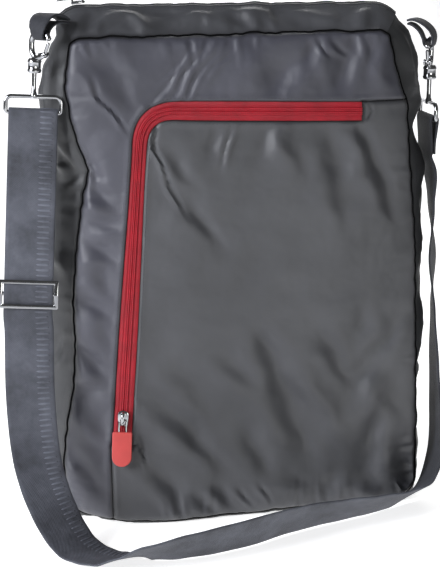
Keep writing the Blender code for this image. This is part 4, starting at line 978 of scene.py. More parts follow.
def mesh_object(name, points, faces, look, places=None, sharp=50, painted_shade=None):
    """A smooth closed piece that faces out, with its material.

    Places are its UV map, in metres. Painted shade is how much of its own tone shows at each point.
    """
    points = np.asarray(points, dtype=float)
    corners = np.array([(face[0], face[i], face[i + 1]) for face in faces for i in range(1, len(face) - 1)])
    a, b, c = (points[corners[:, i]] for i in range(3))
    if np.einsum("ij,ij->i", a, np.cross(b, c)).sum() < 0:
        faces = [tuple(reversed(face)) for face in faces]
    mesh = bpy.data.meshes.new(name)
    mesh.from_pydata(points.tolist(), [], [tuple(int(i) for i in face) for face in faces])
    mesh.update()
    for polygon in mesh.polygons:
        polygon.use_smooth = True
    mesh.set_sharp_from_angle(angle=math.radians(sharp))
    if places is not None:
        layer = mesh.uv_layers.new(name="cloth")
        index = np.empty(len(mesh.loops), dtype=int)
        mesh.loops.foreach_get("vertex_index", index)
        layer.data.foreach_set("uv", np.asarray(places, dtype=float)[index].ravel())
    if painted_shade is not None:
        tones = mesh.attributes.new("painted_shade", "FLOAT", "POINT")
        tones.data.foreach_set("value", np.asarray(painted_shade, dtype=float))
    made = added(name, mesh)
    made.data.materials.append(look)
    return made


def thick_sheet(name, outer, inner, faces, loop, look, places, painted_shade):
    """A cloth piece from its outer and inner skins and the loop of points round its edge."""
    count = len(outer)
    whole = list(faces) + [tuple(i + count for i in reversed(face)) for face in faces]
    for here, there in zip(loop, loop[1:] + loop[:1]):
        whole.append((there, here, here + count, there + count))
    points, places = np.concatenate([outer, inner]), np.concatenate([places, places])
    return mesh_object(name, points, whole, look, places, painted_shade=np.concatenate([painted_shade, painted_shade]))


def grid_faces(rows, columns):
    """The faces of a grid whose points are listed row by row."""
    return [
        (r * columns + c, r * columns + c + 1, (r + 1) * columns + c + 1, (r + 1) * columns + c)
        for r in range(rows - 1)
        for c in range(columns - 1)
    ]


def grid_loop(rows, columns):
    """The points round the edge of such a grid."""
    bottom = list(range(columns))
    right = [r * columns + columns - 1 for r in range(1, rows)]
    top = [(rows - 1) * columns + c for c in range(columns - 2, -1, -1)]
    left = [r * columns for r in range(rows - 2, 0, -1)]
    return bottom + right + top + left


def grid_sheet(name, outer, inner, look, places, painted_shade=None):
    """A cloth piece from its outer and inner skins as grids."""
    rows, columns = outer.shape[:2]
    flat = (array.reshape(rows * columns, -1) for array in (outer, inner))
    places = places.reshape(rows * columns, 2)
    painted_shade = np.ones(rows * columns) if painted_shade is None else np.broadcast_to(painted_shade, (rows, columns)).ravel()
    return thick_sheet(name, *flat, grid_faces(rows, columns), grid_loop(rows, columns), look, places, painted_shade)


def tube_faces(sections, closed):
    """The faces of a tube through sections of points, closed on itself or capped at both ends."""
    count, sides = len(sections), len(sections[0])
    faces = []
    for i in range(count if closed else count - 1):
        a, b = sections[i], sections[(i + 1) % count]
        for k in range(sides):
            j = (k + 1) % sides
            faces.append((a[k], a[j], b[j], b[k]))
    if not closed:
        faces.append(tuple(reversed(sections[0])))
        faces.append(tuple(sections[-1]))
    return faces


def smooth_path(path, step):
    """A smooth line through the points of a path, with a point about every step."""
    spots = [Vector(spot) for spot in path]
    last = len(spots) - 1
    made = []
    for i in range(last):
        a, b = spots[i], spots[i + 1]
        before, after = spots[max(i - 1, 0)], spots[min(i + 2, last)]
        pieces = max(1, round((b - a).length / step))
        made += [eased(a, b, (b - before) / 2, (after - a) / 2, k / pieces) for k in range(pieces)]
    return made + [spots[-1]]


def wire(path, axis, radius, sides=18, closed=False, flat=1.0, ends=1.0):
    """Points and faces of a round wire along a path in a plane. Its ends have that share of its radius."""
    points, sections = [], []
    count = len(path)
    for i, spot in enumerate(path):
        before = path[(i - 1) % count] if closed or i else path[0]
        after = path[(i + 1) % count] if closed or i < count - 1 else path[-1]
        run = (after - before).normalized()
        out = run.cross(axis).normalized()
        size = radius if closed or 0 < i < count - 1 else radius * ends
        section = []
        for k in range(sides):
            angle = 2 * math.pi * (k + 0.5) / sides
            section.append(len(points))
            points.append(spot + out * size * math.cos(angle) + axis * size * flat * math.sin(angle))
        sections.append(section)
    return points, tube_faces(sections, closed)


def turned(profile, sides=28):
    """Points and faces of a closed profile of radius and height turned about Z."""
    points, sections = [], []
    for k in range(sides):
        angle = 2 * math.pi * k / sides
        section = []
        for radius, height in profile:
            section.append(len(points))
            points.append(Vector((radius * math.cos(angle), radius * math.sin(angle), height)))
        sections.append(section)
    return points, tube_faces(sections, True)


def plate(outline, low, high, edge=0.0, segments=2):
    """Points and faces of a flat outline in X and Z between two values of Y, with rounded edges."""
    form = bmesh.new()
    near = [form.verts.new((x, low, z)) for x, z in outline]
    far = [form.verts.new((x, high, z)) for x, z in outline]
    count = len(outline)
    form.faces.new(list(reversed(near)))
    form.faces.new(far)
    for i in range(count):
        j = (i + 1) % count
        form.faces.new((near[i], near[j], far[j], far[i]))
    bmesh.ops.recalc_face_normals(form, faces=form.faces)
    if edge:
        rims = [e for e in form.edges if abs(e.verts[0].co.y - e.verts[1].co.y) < 1e-9]
        bmesh.ops.bevel(form, geom=rims, offset=edge, segments=segments, profile=0.5, affect="EDGES")
    return shell_of(form)


def shell_of(form):
    """The points and faces of an edited mesh, which is freed."""
    form.verts.index_update()
    points = [vert.co.copy() for vert in form.verts]
    faces = [tuple(vert.index for vert in face.verts) for face in form.faces]
    form.free()
    return points, faces


def joined(name, parts, look, sharp=40):
    """One piece from several (matrix, points, faces), each of them a closed shell."""
    points, faces = [], []
    for matrix, spots, rims in parts:
        start = len(points)
        volume = sum(
            spots[f[0]].dot(spots[f[i]].cross(spots[f[i + 1]])) for f in rims for i in range(1, len(f) - 1)
        )
        points += [tuple(matrix @ spot) for spot in spots]
        for face in rims:
            face = tuple(i + start for i in face)
            faces.append(face if volume > 0 else tuple(reversed(face)))
    return mesh_object(name, points, faces, look, sharp=sharp)


def metal_piece(name, parts, body, replaced):
    """A metal piece from its closed shells, on its body and in its node's place."""
    finish_piece(joined(name, parts, look("metal")), body, "metal", replaced)


# Flat outlines filled with triangles: how far inside the outline its two rows of points lie
ROW_DEPTHS = (0.0008, 0.0021)


def inside(a, b, outline):
    """Which places are inside a closed outline."""
    within = np.zeros(len(a), dtype=bool)
    for (x0, z0), (x1, z1) in zip(outline, np.roll(outline, -1, axis=0)):
        if z0 == z1:
            continue
        crossing = ((z0 > b) != (z1 > b)) & (a < (x1 - x0) * (b - z0) / (z1 - z0) + x0)
        within ^= crossing
    return within


def filled(outline, cell):
    """An outline filled with triangles: its own points, two rows just inside them, then an even net."""
    outline = np.asarray(outline)
    run = unit(np.roll(outline, -1, axis=0) - np.roll(outline, 1, axis=0))
    inward = np.stack([-run[:, 1], run[:, 0]], axis=1)
    closed = closed_ring(outline)
    rows = []
    for depth in ROW_DEPTHS:
        for way in (1, -1):
            spots = outline + inward * depth * way
            off, _ = line_distance(spots[:, 0], spots[:, 1], closed)
            keep = inside(spots[:, 0], spots[:, 1], outline) & (off > depth * 0.93)
            rows.append(spots[keep])
    low, high = outline.min(axis=0), outline.max(axis=0)
    a, b = np.meshgrid(np.arange(low[0], high[0], cell), np.arange(low[1], high[1], cell * 0.87))
    a = a + (np.arange(len(a)) % 2)[:, None] * cell / 2
    a, b = a.ravel(), b.ravel()
    keep = inside(a, b, outline)
    a, b = a[keep], b[keep]
    off, _ = line_distance(a, b, closed)
    net = np.stack([a, b], axis=1)[off > ROW_DEPTHS[-1] + cell * 0.45]
    spots = np.concatenate([outline] + rows + [net])
    count = len(outline)
    edges = [(i, (i + 1) % count) for i in range(count)]
    result = delaunay_2d_cdt([Vector(spot) for spot in spots.tolist()], edges, [], 1, 1e-7)
    if len(result[0]) != len(spots):
        raise ValueError("the outline has points that coincide")
    return spots, [tuple(face) for face in result[2]]


def panel(name, outline, on_seam, height, side, cell, look, painted_shade):
    """A panel of the front or the back: on_seam gives each outline point's seam station, or -1."""
    flat, faces = filled(outline, cell)
    x, z = flat[:, 0], flat[:, 1]
    slope_x, slope_z = slopes(height, x, z, 0.0006)
    normal = unit(np.stack([-side * slope_x, np.full(len(x), float(side)), -side * slope_z], axis=1))
    outer = np.stack([x, height(x, z), z], axis=1)
    inner = outer - normal * CLOTH
    seam = np.array([i for i, station in enumerate(on_seam) if station >= 0])
    away = RING_OUT[[on_seam[i] % COUNT for i in seam]]
    away = np.stack([away[:, 0], np.zeros(len(seam)), away[:, 1]], axis=1)
    outer[seam] = np.stack([x[seam], height(x[seam], z[seam], False), z[seam]], axis=1) - away * MITRE_GAP
    inner[seam] = outer[seam] - (away + np.array([0.0, float(side), 0.0])) * CLOTH
    return thick_sheet(name, outer, inner, faces, list(range(len(outline))), look, flat, painted_shade(x, z))


# Materials
def shader(name, colour, roughness, metallic=0.0, **sockets):
    """A material with one Principled shader, and its node tree and shader for more nodes."""
    made = bpy.data.materials.new(name)
    made.use_nodes = True
    tree = made.node_tree
    surface = tree.nodes["Principled BSDF"]
    surface.inputs["Base Color"].default_value = (*colour, 1.0)
    surface.inputs["Roughness"].default_value = roughness
    surface.inputs["Metallic"].default_value = metallic
    for socket, value in sockets.items():
        surface.inputs[socket.replace("_", " ")].default_value = value
    return made, tree, surface


def node(tree, kind, **settings):
    """A new node with its sockets and its own settings, by name."""
    made = tree.nodes.new(kind)
    for name, value in settings.items():
        socket = name.replace("_", " ")
        if socket in made.inputs:
            made.inputs[socket].default_value = value
        else:
            setattr(made, name, value)
    return made


def maths(tree, operation, *values):
    """The result of a sum on values that are plain numbers or other nodes' results."""
    made = node(tree, "ShaderNodeMath", operation=operation)
    for socket, value in zip(made.inputs, values):
        if isinstance(value, bpy.types.NodeSocket):
            tree.links.new(value, socket)
        else:
            socket.default_value = value
    return made.outputs[0]


def object_noise(tree, scale, detail=3.0, rough=0.5):
    """Noise on the piece's own coordinates, in metres."""
    place = tree.nodes.new("ShaderNodeTexCoord")
    noise = node(tree, "ShaderNodeTexNoise", Scale=scale, Detail=detail, Roughness=rough)
    tree.links.new(place.outputs["Object"], noise.inputs["Vector"])
    return noise.outputs["Fac"]


def tone(tree, surface, factor, colour, low, high):
    """The base colour between a darker and a lighter share of it, by a factor."""
    ramp = tree.nodes.new("ShaderNodeValToRGB")
    for element, position, share in zip(ramp.color_ramp.elements, (0.30, 0.70), (low, high)):
        element.position = position
        element.color = (*(c * share for c in colour), 1.0)
    tree.links.new(factor, ramp.inputs["Fac"])
    tree.links.new(ramp.outputs["Color"], surface.inputs["Base Color"])
    return ramp.outputs["Color"]


def shaded(tree, surface, colour):
    """The base colour darkened by the painted shade stored on the mesh."""
    painted_shade = node(tree, "ShaderNodeAttribute", attribute_name="painted_shade")
    product = node(tree, "ShaderNodeVectorMath", operation="SCALE")
    tree.links.new(colour, product.inputs["Vector"])
    tree.links.new(painted_shade.outputs["Fac"], product.inputs["Scale"])
    tree.links.new(product.outputs["Vector"], surface.inputs["Base Color"])


def gloss(tree, surface, factor, low, high):
    """Roughness between two values, by a factor."""
    spread = node(tree, "ShaderNodeMapRange", To_Min=low, To_Max=high)
    tree.links.new(factor, spread.inputs["Value"])
    tree.links.new(spread.outputs["Result"], surface.inputs["Roughness"])


def relief(tree, surface, factor, distance, strength=1.0, below=None):
    """A bump on top of another one."""
    bump = node(tree, "ShaderNodeBump", Distance=distance, Strength=strength)
    tree.links.new(factor, bump.inputs["Height"])
    if below:
        tree.links.new(below, bump.inputs["Normal"])
    tree.links.new(bump.outputs["Normal"], surface.inputs["Normal"])
    return bump.outputs["Normal"]


def cloth_threads(tree, pitch_across, pitch_along):
    """Threads that cross, on the piece's cloth map: from 0 in the gaps to 1 on the threads."""
    place = node(tree, "ShaderNodeUVMap", uv_map="cloth")
    split = tree.nodes.new("ShaderNodeSeparateXYZ")
    tree.links.new(place.outputs["UV"], split.inputs["Vector"])
    waves = []
    for axis, pitch in (("X", pitch_across), ("Y", pitch_along)):
        scaled = maths(tree, "MULTIPLY", split.outputs[axis], 2 * math.pi / pitch)
        waves.append(maths(tree, "SINE", scaled))
    return maths(tree, "MULTIPLY_ADD", maths(tree, "MULTIPLY", *waves), 0.5, 0.5)


def nylon(name, colour):
    """Thin coated nylon: a fine weave, small crinkles, a soft shine and a faint bloom of light."""
    made, tree, surface = shader(
        name, colour, 0.42, Sheen_Weight=0.03, Sheen_Roughness=0.45, IOR=1.5, Specular_IOR_Level=0.50
    )
    # Painted shade from the mesh darkens the nylon in its seams and beside its turned edges
    shaded(tree, surface, tone(tree, surface, object_noise(tree, 14.0, 4.0), colour, 0.82, 1.18))
    gloss(tree, surface, object_noise(tree, 60.0, 3.0), 0.34, 0.50)
    swell = relief(tree, surface, object_noise(tree, 42.0, 2.5, 0.45), 0.0030, 0.55)
    relief(tree, surface, cloth_threads(tree, 0.0011, 0.0011), 0.00016, 0.6, swell)
    return made


def webbing(name, colour, with_painted_shade=True):
    """Close woven webbing: a plain weave with a soft matt face. One with painted shade takes its mesh's
    painted shade.
    """
    made, tree, surface = shader(
        name, colour, 0.62, Sheen_Weight=0.05, Sheen_Roughness=0.5, Specular_IOR_Level=0.25
    )
    woven = tone(tree, surface, object_noise(tree, 30.0, 6.0, 0.7), colour, 0.50, 1.46)
    if with_painted_shade:
        shaded(tree, surface, woven)
    swell = relief(tree, surface, object_noise(tree, 160.0, 2.0), 0.0005, 0.4)
    relief(tree, surface, cloth_threads(tree, 0.0016, 0.0013), 0.0003, 0.8, swell)
    return made


def zip_cloth(name, colour, shine=0.5, gleam=0.35):
    """Zip tape and thread: cross ribs."""
    made, tree, surface = shader(
        name, colour, shine, Sheen_Weight=0.08, Sheen_Roughness=0.4, Specular_IOR_Level=gleam
    )
    tone(tree, surface, object_noise(tree, 120.0, 4.0), colour, 0.82, 1.16)
    relief(tree, surface, cloth_threads(tree, 0.0011, 0.0012), 0.0003, 0.8)
    return made


def plated(name, colour, shine=0.11):
    """Polished plate with faint smears."""
    made, tree, surface = shader(name, colour, shine, 1.0)
    gloss(tree, surface, object_noise(tree, 220.0, 3.0), shine * 0.7, shine * 1.6)
    relief(tree, surface, object_noise(tree, 400.0, 2.0), 0.00008, 0.3)
    return made


def rubber(name, colour):
    """Moulded rubber with a fine grain."""
    made, tree, surface = shader(name, colour, 0.46)
    tone(tree, surface, object_noise(tree, 90.0, 3.0), colour, 0.93, 1.06)
    relief(tree, surface, object_noise(tree, 1400.0, 2.0), 0.00012, 0.35)
    return made


LOOKS = {}


def tinted(colour, shares):
    """A colour at a share of itself, or with its own share for each channel."""
    return tuple(np.multiply(colour, shares))


def look(key):
    """The material of this finish, made once."""
    if key not in LOOKS:
        colours = bpy.context.scene.bag_colours
        makers = {
            "nylon": lambda: nylon("charcoal_nylon", colours.nylon),
            # Painted light: the yoke is a cooler, darker copy of the same nylon, tinted for the bluish light
            # from the left
            "nylon_yoke_lit": lambda: nylon("charcoal_nylon_yoke_lit", tinted(colours.nylon, YOKE_LIGHT_TINT)),
            # Painted shade: the gusset is a darker copy of the same nylon, for the sides that turn away from
            # the light
            "nylon_side": lambda: nylon("charcoal_nylon_side_shaded", colours.nylon_side),
            "webbing": lambda: webbing("grey_webbing", colours.webbing),
            "bars": lambda: webbing("grey_webbing_bars", tinted(colours.webbing, 1.5), False),
            # Painted shade: the tabs are a darker copy of the same webbing, for the shade they hang in
            "tabs": lambda: webbing("tab_webbing_painted_shade", tinted(colours.webbing, 0.42), False),
            "zip_red": lambda: zip_cloth("red_zip_tape", colours.zip_red, 0.42),
            "thread_red": lambda: zip_cloth("red_zip_thread", tinted(colours.zip_red, 1.35), 0.35),
            "zip_dark": lambda: zip_cloth("black_zip_tape", colours.zip_dark),
            # Painted shadow: a near-black matt line for the shaded crease of the outer seams
            "seam": lambda: zip_cloth("painted_seam_shadow", tinted(colours.nylon, 0.06), 0.9, 0.05),
            "thread": lambda: zip_cloth("charcoal_thread", tinted(colours.nylon, 0.62)),
            "grip_red": lambda: rubber("coral_rubber", colours.grip_red),
            "metal": lambda: plated("bright_nickel", colours.metal),
        }
        LOOKS[key] = makers[key]()
    return LOOKS[key]


# Rows of small bits along a path, by Geometry Nodes
def group_input(tree, kind, name, value, low=None):
    """A named input of a node tree, with its first value and its lower limit."""
    socket = tree.interface.new_socket(name=name, in_out="INPUT", socket_type=kind)
    if value is not None:
        socket.default_value = value
    if low is not None:
        socket.min_value = low
    return socket


def bit_row_tree():
    """A node tree that sets rounded bits along a line, turned to the line and to its out vector."""
    tree = bpy.data.node_groups.new("Bits Along A Line", "GeometryNodeTree")
    tree.interface.new_socket(name="Geometry", in_out="INPUT", socket_type="NodeSocketGeometry")
    for name, value in (("Spacing", 0.003), ("Length", 0.002), ("Width", 0.0006), ("Height", 0.0004)):
        group_input(tree, "NodeSocketFloat", name, value, 0.0)
    group_input(tree, "NodeSocketInt", "Rounding", 1, 0)
    group_input(tree, "NodeSocketMaterial", "Material", None)
    tree.interface.new_socket(name="Geometry", in_out="OUTPUT", socket_type="NodeSocketGeometry")
    start, end = tree.nodes.new("NodeGroupInput"), tree.nodes.new("NodeGroupOutput")
    curve = tree.nodes.new("GeometryNodeMeshToCurve")
    even = node(tree, "GeometryNodeResampleCurve", mode="LENGTH")
    tangent = tree.nodes.new("GeometryNodeInputTangent")
    out = node(tree, "GeometryNodeInputNamedAttribute", data_type="FLOAT_VECTOR", Name="out")
    first = node(tree, "FunctionNodeAlignRotationToVector", axis="X")
    second = node(tree, "FunctionNodeAlignRotationToVector", axis="Z", pivot_axis="X")
    size = tree.nodes.new("ShaderNodeCombineXYZ")
    cube = tree.nodes.new("GeometryNodeMeshCube")
    soft = tree.nodes.new("GeometryNodeSubdivisionSurface")
    smooth = tree.nodes.new("GeometryNodeSetShadeSmooth")
    rows = tree.nodes.new("GeometryNodeInstanceOnPoints")
    real = tree.nodes.new("GeometryNodeRealizeInstances")
    paint = tree.nodes.new("GeometryNodeSetMaterial")
    links = (
        (start, "Geometry", curve, "Mesh"), (curve, "Curve", even, "Curve"),
        (start, "Spacing", even, "Length"),
        (tangent, "Tangent", first, "Vector"), (first, "Rotation", second, "Rotation"),
        (out, "Attribute", second, "Vector"), (start, "Length", size, "X"), (start, "Width", size, "Y"),
        (start, "Height", size, "Z"), (size, "Vector", cube, "Size"), (cube, "Mesh", soft, "Mesh"),
        (start, "Rounding", soft, "Level"), (soft, "Mesh", smooth, "Geometry"),
        (even, "Curve", rows, "Points"),
        (smooth, "Geometry", rows, "Instance"), (second, "Rotation", rows, "Rotation"),
        (rows, "Instances", real, "Geometry"), (real, "Geometry", paint, "Geometry"),
        (start, "Material", paint, "Material"), (paint, "Geometry", end, "Geometry"),
    )
    for source, output, target, socket in links:
        tree.links.new(source.outputs[output], target.inputs[socket])
    return tree


def bit_rows(name, lines, spacing, length, width, height, material, rounding=1):
    """A plain mesh of bits along several lines, each given as its points and their out vectors."""
    if "Bits Along A Line" not in bpy.data.node_groups:
        bit_row_tree()
    tree = bpy.data.node_groups["Bits Along A Line"]
    points, outs, edges = [], [], []
    for spots, ways in lines:
        start = len(points)
        points += [tuple(spot) for spot in spots]
        outs += [tuple(way) for way in ways]
        edges += [(start + i, start + i + 1) for i in range(len(spots) - 1)]
    mesh = bpy.data.meshes.new(name + "_line")
    mesh.from_pydata(points, edges, [])
    ways = mesh.attributes.new("out", "FLOAT_VECTOR", "POINT")
    ways.data.foreach_set("vector", np.array(outs, float).ravel())
    guide = added(name + "_line", mesh)
    step = guide.modifiers.new("bits", "NODES")
    step.node_group = tree
    values = {"Spacing": spacing, "Length": length, "Width": width, "Height": height, "Rounding": rounding}
    values["Material"] = material
    for item in tree.interface.items_tree:
        if item.item_type == "SOCKET" and item.in_out == "INPUT" and item.name in values:
            step[item.identifier] = values[item.name]
    deps = bpy.context.evaluated_depsgraph_get()
    real = bpy.data.meshes.new_from_object(guide.evaluated_get(deps), depsgraph=deps)
    real.name = name
    made = added(name, real)
    bpy.data.objects.remove(guide)
    return made


def front_line(flat, lift):
    """Points on the front surface over a flat line, lifted out of it, with their normals."""
    x, z = np.asarray(flat).T
    slope_x, slope_z = slopes(front_y, x, z, 0.0008)
    normal = unit(np.stack([slope_x, -np.ones(len(x)), slope_z], axis=1))
    return np.stack([x, front_y(x, z), z], axis=1) + normal * lift, normal


# Cloth of the bag
def ring_stretch(first, last):
    """Points of the front seam between two stations, with the stations."""
    index = np.arange(first, last + 1)
    return FRONT_RING[index % COUNT], list(index)


def evenly(start, stop, step):
    """Even values from start to stop, about a step apart."""
    return np.linspace(start, stop, max(2, int(round(abs(stop - start) / step)) + 1))


def build_front(cell):
    """The yoke above and left of the zip, and the pocket panel below and right of it."""
    right_seam, base_seam = FRONT_RING[POCKET_STATION_RIGHT], FRONT_RING[POCKET_STATION_BASE]
    outside, below = zip_edge(1), zip_edge(-1)
    up, left = np.array((0, GAP / 2)), np.array((-GAP / 2, 0))
    right_x = evenly(right_seam[0], outside[0][0], 0.0026)[1:-1]
    low_z = evenly(base_seam[1], outside[-1][1], 0.0026)[1:-1]
    level = np.stack([right_x, seam_rise(right_x)], axis=1)
    fall = np.stack([np.full(len(low_z), POCKET_SEAM_BASE), low_z], axis=1)

    seam, stations = ring_stretch(POCKET_STATION_RIGHT + 1, COUNT + POCKET_STATION_BASE - 1)
    outline = np.concatenate([
        [right_seam + up], seam, [base_seam + left], fall + left, outside[::-1], level[::-1] + up,
    ])
    marks = [POCKET_STATION_RIGHT] + stations + [POCKET_STATION_BASE]
    marks += [-1] * (len(outline) - len(marks))
    yoke = panel("front_yoke_cloth", outline, marks, front_y, -1, cell, look("nylon_yoke_lit"), front_shade)

    seam, stations = ring_stretch(POCKET_STATION_BASE + 1, POCKET_STATION_RIGHT - 1)
    top_end = [outside[0] + (GAP, -GAP)], [below[0] + (GAP, 0)]
    low_end = [below[-1] + (0, -GAP)], [outside[-1] + (GAP, -GAP)]
    outline = np.concatenate([
        [base_seam - left], seam, [right_seam - up], level - up,
        *top_end, below[1:-1], *low_end, fall[::-1] - left,
    ])
    marks = [POCKET_STATION_BASE] + stations + [POCKET_STATION_RIGHT]
    marks += [-1] * (len(outline) - len(marks))
    pocket = panel("pocket_panel_cloth", outline, marks, front_y, -1, cell, look("nylon"), front_shade)
    finish_piece(yoke, "bag", "nylon", "front_yoke")
    finish_piece(pocket, "bag", "nylon", "pocket_panel")


def build_back(cell):
    """The back panel in one piece."""
    stations = list(range(COUNT))
    back = panel("back_panel_cloth", BACK_RING, stations, back_y, 1, cell, look("nylon"), back_shade)
    finish_piece(back, "bag", "nylon", "back_panel")


def build_seam_shadow_lines():
    """A dark matt line of painted shadow sunk in each of the two outer seams, where their crease is in shade.
    """
    for side, ring, height in (("front", FRONT_RING, front_y), ("back", BACK_RING, back_y)):
        level = height(ring[:, 0], ring[:, 1], False)
        path = [Vector((x, y, z)) for (x, z), y in zip(ring, level)]
        line = wire(path, Y_WAY, SEAM_SHADOW_RADIUS, 8, closed=True)
        finish_piece(joined(side + "_painted_seam_shadow", [(Matrix(), *line)], look("seam")), "bag", "nylon")


def finish_piece(made, body, slot, *nodes):
    """Hands a finished piece to the frame: it rides on a body and stands for these nodes. The slot is not
    used.
    """
    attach(made, body)
    if nodes:
        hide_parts(*nodes)


def graded(first, last, count, ease=0.012):
    """Shares from first to last, closer together at both ends."""
    span = last - first
    close = [first + span * ease, last - span * ease, first + span * ease * 2.5]
    return np.unique(np.concatenate([np.linspace(first, last, count), close]))


def gusset_sheet(name, first, last, shares, thick, rises, material, folds=True):
    """A stretch of the gusset as a thick sheet: rises lift each column out of the cloth."""
    points = gusset_grid(first, last, shares, folds)
    normal = grid_normals(points)
    away = RING_OUT[np.arange(first, last + 1) % COUNT]
    facing = normal[:, :, 0] * away[:, :1] + normal[:, :, 2] * away[:, 1:]
    normal *= np.sign(facing.sum())
    run = unit(np.gradient(points, axis=0))
    points[0] += run[0] * GAP / 2
    points[-1] -= run[-1] * GAP / 2
    outer = points + normal * rises[None, :, None]
    inner = points - normal * thick
    for column, side in ((0, -1.0), (-1, 1.0)):
        if shares[column] not in (0.0, 1.0):
            continue
        outer[:, column] = points[:, column]
        outer[:, column, 1] -= side * MITRE_GAP
        inward = np.stack([-away[:, 0], np.full(len(away), -side), -away[:, 1]], axis=1)
        inner[:, column] = outer[:, column] + inward * thick
    runs = distances(points[:, 0])[:, None] + 0 * shares[None, :]
    deep = 0 * runs + shares[None, :] * 2 * HALF_DEPTH
    # Painted shade, darker toward the seams at both edges of the sheet
    painted_shade = seam_shade(np.minimum(shares, 1 - shares) * 2 * HALF_DEPTH)
    return grid_sheet(name, outer, inner, material, np.stack([runs, deep], axis=2), painted_shade)


def build_gusset():
    """The left side, the base and the right side in one band of cloth."""
    shares = graded(0.0, 1.0, 34)
    last = COUNT + RIGHT_SHOULDER
    made = gusset_sheet(
        "side_gusset_cloth", LEFT_SHOULDER, last, shares, CLOTH, 0 * shares, look("nylon_side")
    )
    finish_piece(made, "bag", "nylon_side", "side_gusset")


def build_top():
    """The cloth strips in front of the main zip and behind it."""
    for name, first, last in (("top_strip_front", 0.0, RIDGE_FROM), ("top_strip_back", RIDGE_TO, 1.0)):
        shares = graded(first, last, 18)
        edge = RIDGE_FROM if first == 0.0 else RIDGE_TO
        lip = 0.0005 * hump(np.abs(shares - edge) * 2 * HALF_DEPTH - 0.0020, 0.0012)
        made = gusset_sheet(
            name + "_cloth", RIGHT_SHOULDER, LEFT_SHOULDER, shares, CLOTH, lip, look("nylon")
        )
        finish_piece(made, "bag", "nylon", name)


# Zips
def zip_profile(half):
    """Offsets and rises across a whole zip whose half width is half, in metres."""
    offsets = [a * MM for a, _ in ZIP_PROFILE if a * MM < half - 0.0004] + [half]
    rises = [b * MM for a, b in ZIP_PROFILE if a * MM < half - 0.0004] + [-0.0001]
    whole = [-a for a in reversed(offsets[1:])] + offsets
    return np.array(whole), np.array(list(reversed(rises[1:])) + rises)


def zip_lines(points, normal, offsets, chosen, lift):
    """Lines along a zip at the chosen offsets in mm, lifted out of it, with their normals."""
    columns = [int(np.argmin(np.abs(offsets - offset * MM))) for offset in chosen]
    return [(points[:, k] + normal[:, k] * lift, normal[:, k]) for k in columns]


def laid_rows(name, lines, pitch, share, size, finish, slot):
    """Threads along lines of the bag, each as long as a share of their pitch, with its width and height."""
    finish_piece(bit_rows(name, lines, pitch, pitch * share, *size, look(finish)), "bag", slot)


def stitches(name, lines, sizes):
    """Rows of topstitching."""
    laid_rows(name, lines, sizes.stitch_pitch, 0.66, (0.00042, 0.00036), "thread", "nylon")


def upward(points):
    """The normals of a grid of points, turned to point up."""
    normal = grid_normals(points)
    return normal * np.sign(normal[:, :, 2].mean())


def build_pocket_zip(sizes):
    """The red tape with its covered coil."""
    offsets, rises = zip_profile(ZIP_WIDTH / 2 - GAP / 2)
    across = (zip_edge(1) - zip_edge(-1)) / (ZIP_WIDTH + GAP)
    flat = ZIP_SPOTS[:, None, :] + across[:, None, :] * offsets[None, :, None]
    x, z = flat[:, :, 0], flat[:, :, 1]
    base = np.stack([x, front_y(x, z, False) + 0.0004, z], axis=2)
    normal = grid_normals(base)
    normal *= -np.sign(normal[:, :, 1].mean())
    outer = base + normal * rises[None, :, None]
    inner = base - normal * (TAPE - 0.0002)
    runs = ZIP_RUN[:, None] + 0 * offsets[None, :]
    places = np.stack([runs, 0 * runs + offsets], axis=2)
    tape = grid_sheet("pocket_zip_cloth", outer, inner, look("zip_red"), places)
    finish_piece(tape, "bag", "zip_red", "pocket_zip_tape")
    lines = zip_lines(outer, normal, offsets, (-2.2, -0.7, 0.7, 2.2), 0.00003)
    laid_rows("pocket_zip_coil", lines, sizes.coil_pitch, 0.62, (0.00085, 0.00032), "thread_red", "zip_red")


def front_stitches(sizes):
    """Topstitching on both sides of the pocket zip, and the bar tack at its right end."""
    lines = [front_line((zip_edge(way) + ZIP_OUT * way * STITCH_OFF)[2:-2], 0.00005) for way in (1, -1)]
    stitches("front_stitches", lines, sizes)
    across = np.linspace(-0.5, 0.5, 12)[:, None] * ZIP_OUT[0] * ZIP_WIDTH
    tacks = [front_line(ZIP_SPOTS[0] + across + (shift, 0), 0.0001) for shift in (0.0010, 0.0017)]
    made = bit_rows("zip_end_tack", tacks, 0.0007, 0.0006, 0.0006, 0.0005, look("thread"))
    finish_piece(made, "bag", "nylon")


def build_main_zip(sizes):
    """The dark tape along the ridge with its coil."""
    wide = (1 - 2 * TAPE_FROM) * 2 * HALF_DEPTH
    offsets, rises = zip_profile(wide / 2)
    shares = 0.5 + offsets / (2 * HALF_DEPTH)
    tape = gusset_sheet(
        "main_zip_cloth", RIGHT_SHOULDER, LEFT_SHOULDER, shares, TAPE, rises, look("zip_dark"), folds=False
    )
    finish_piece(tape, "bag", "zip_dark", "main_zip_tape")
    points = gusset_grid(RIGHT_SHOULDER, LEFT_SHOULDER, shares, False)
    lines = zip_lines(points, upward(points), offsets, (-0.7, 0.7), 0.00108)
    laid_rows("main_zip_coil", lines, sizes.coil_pitch, 0.62, (0.0009, 0.0004), "zip_dark", "zip_dark")


def top_stitches(sizes):
    """Topstitching on both sides of the main zip."""
    lines = []
    for share in (RIDGE_FROM - 0.042, RIDGE_TO + 0.042):
        shares = np.array([share - 0.01, share, share + 0.01])
        points = gusset_grid(RIGHT_SHOULDER + 2, LEFT_SHOULDER - 2, shares)
        normal = upward(points)
        lines.append((points[:, 1] + normal[:, 1] * 0.0005, normal[:, 1]))
    stitches("top_stitches", lines, sizes)


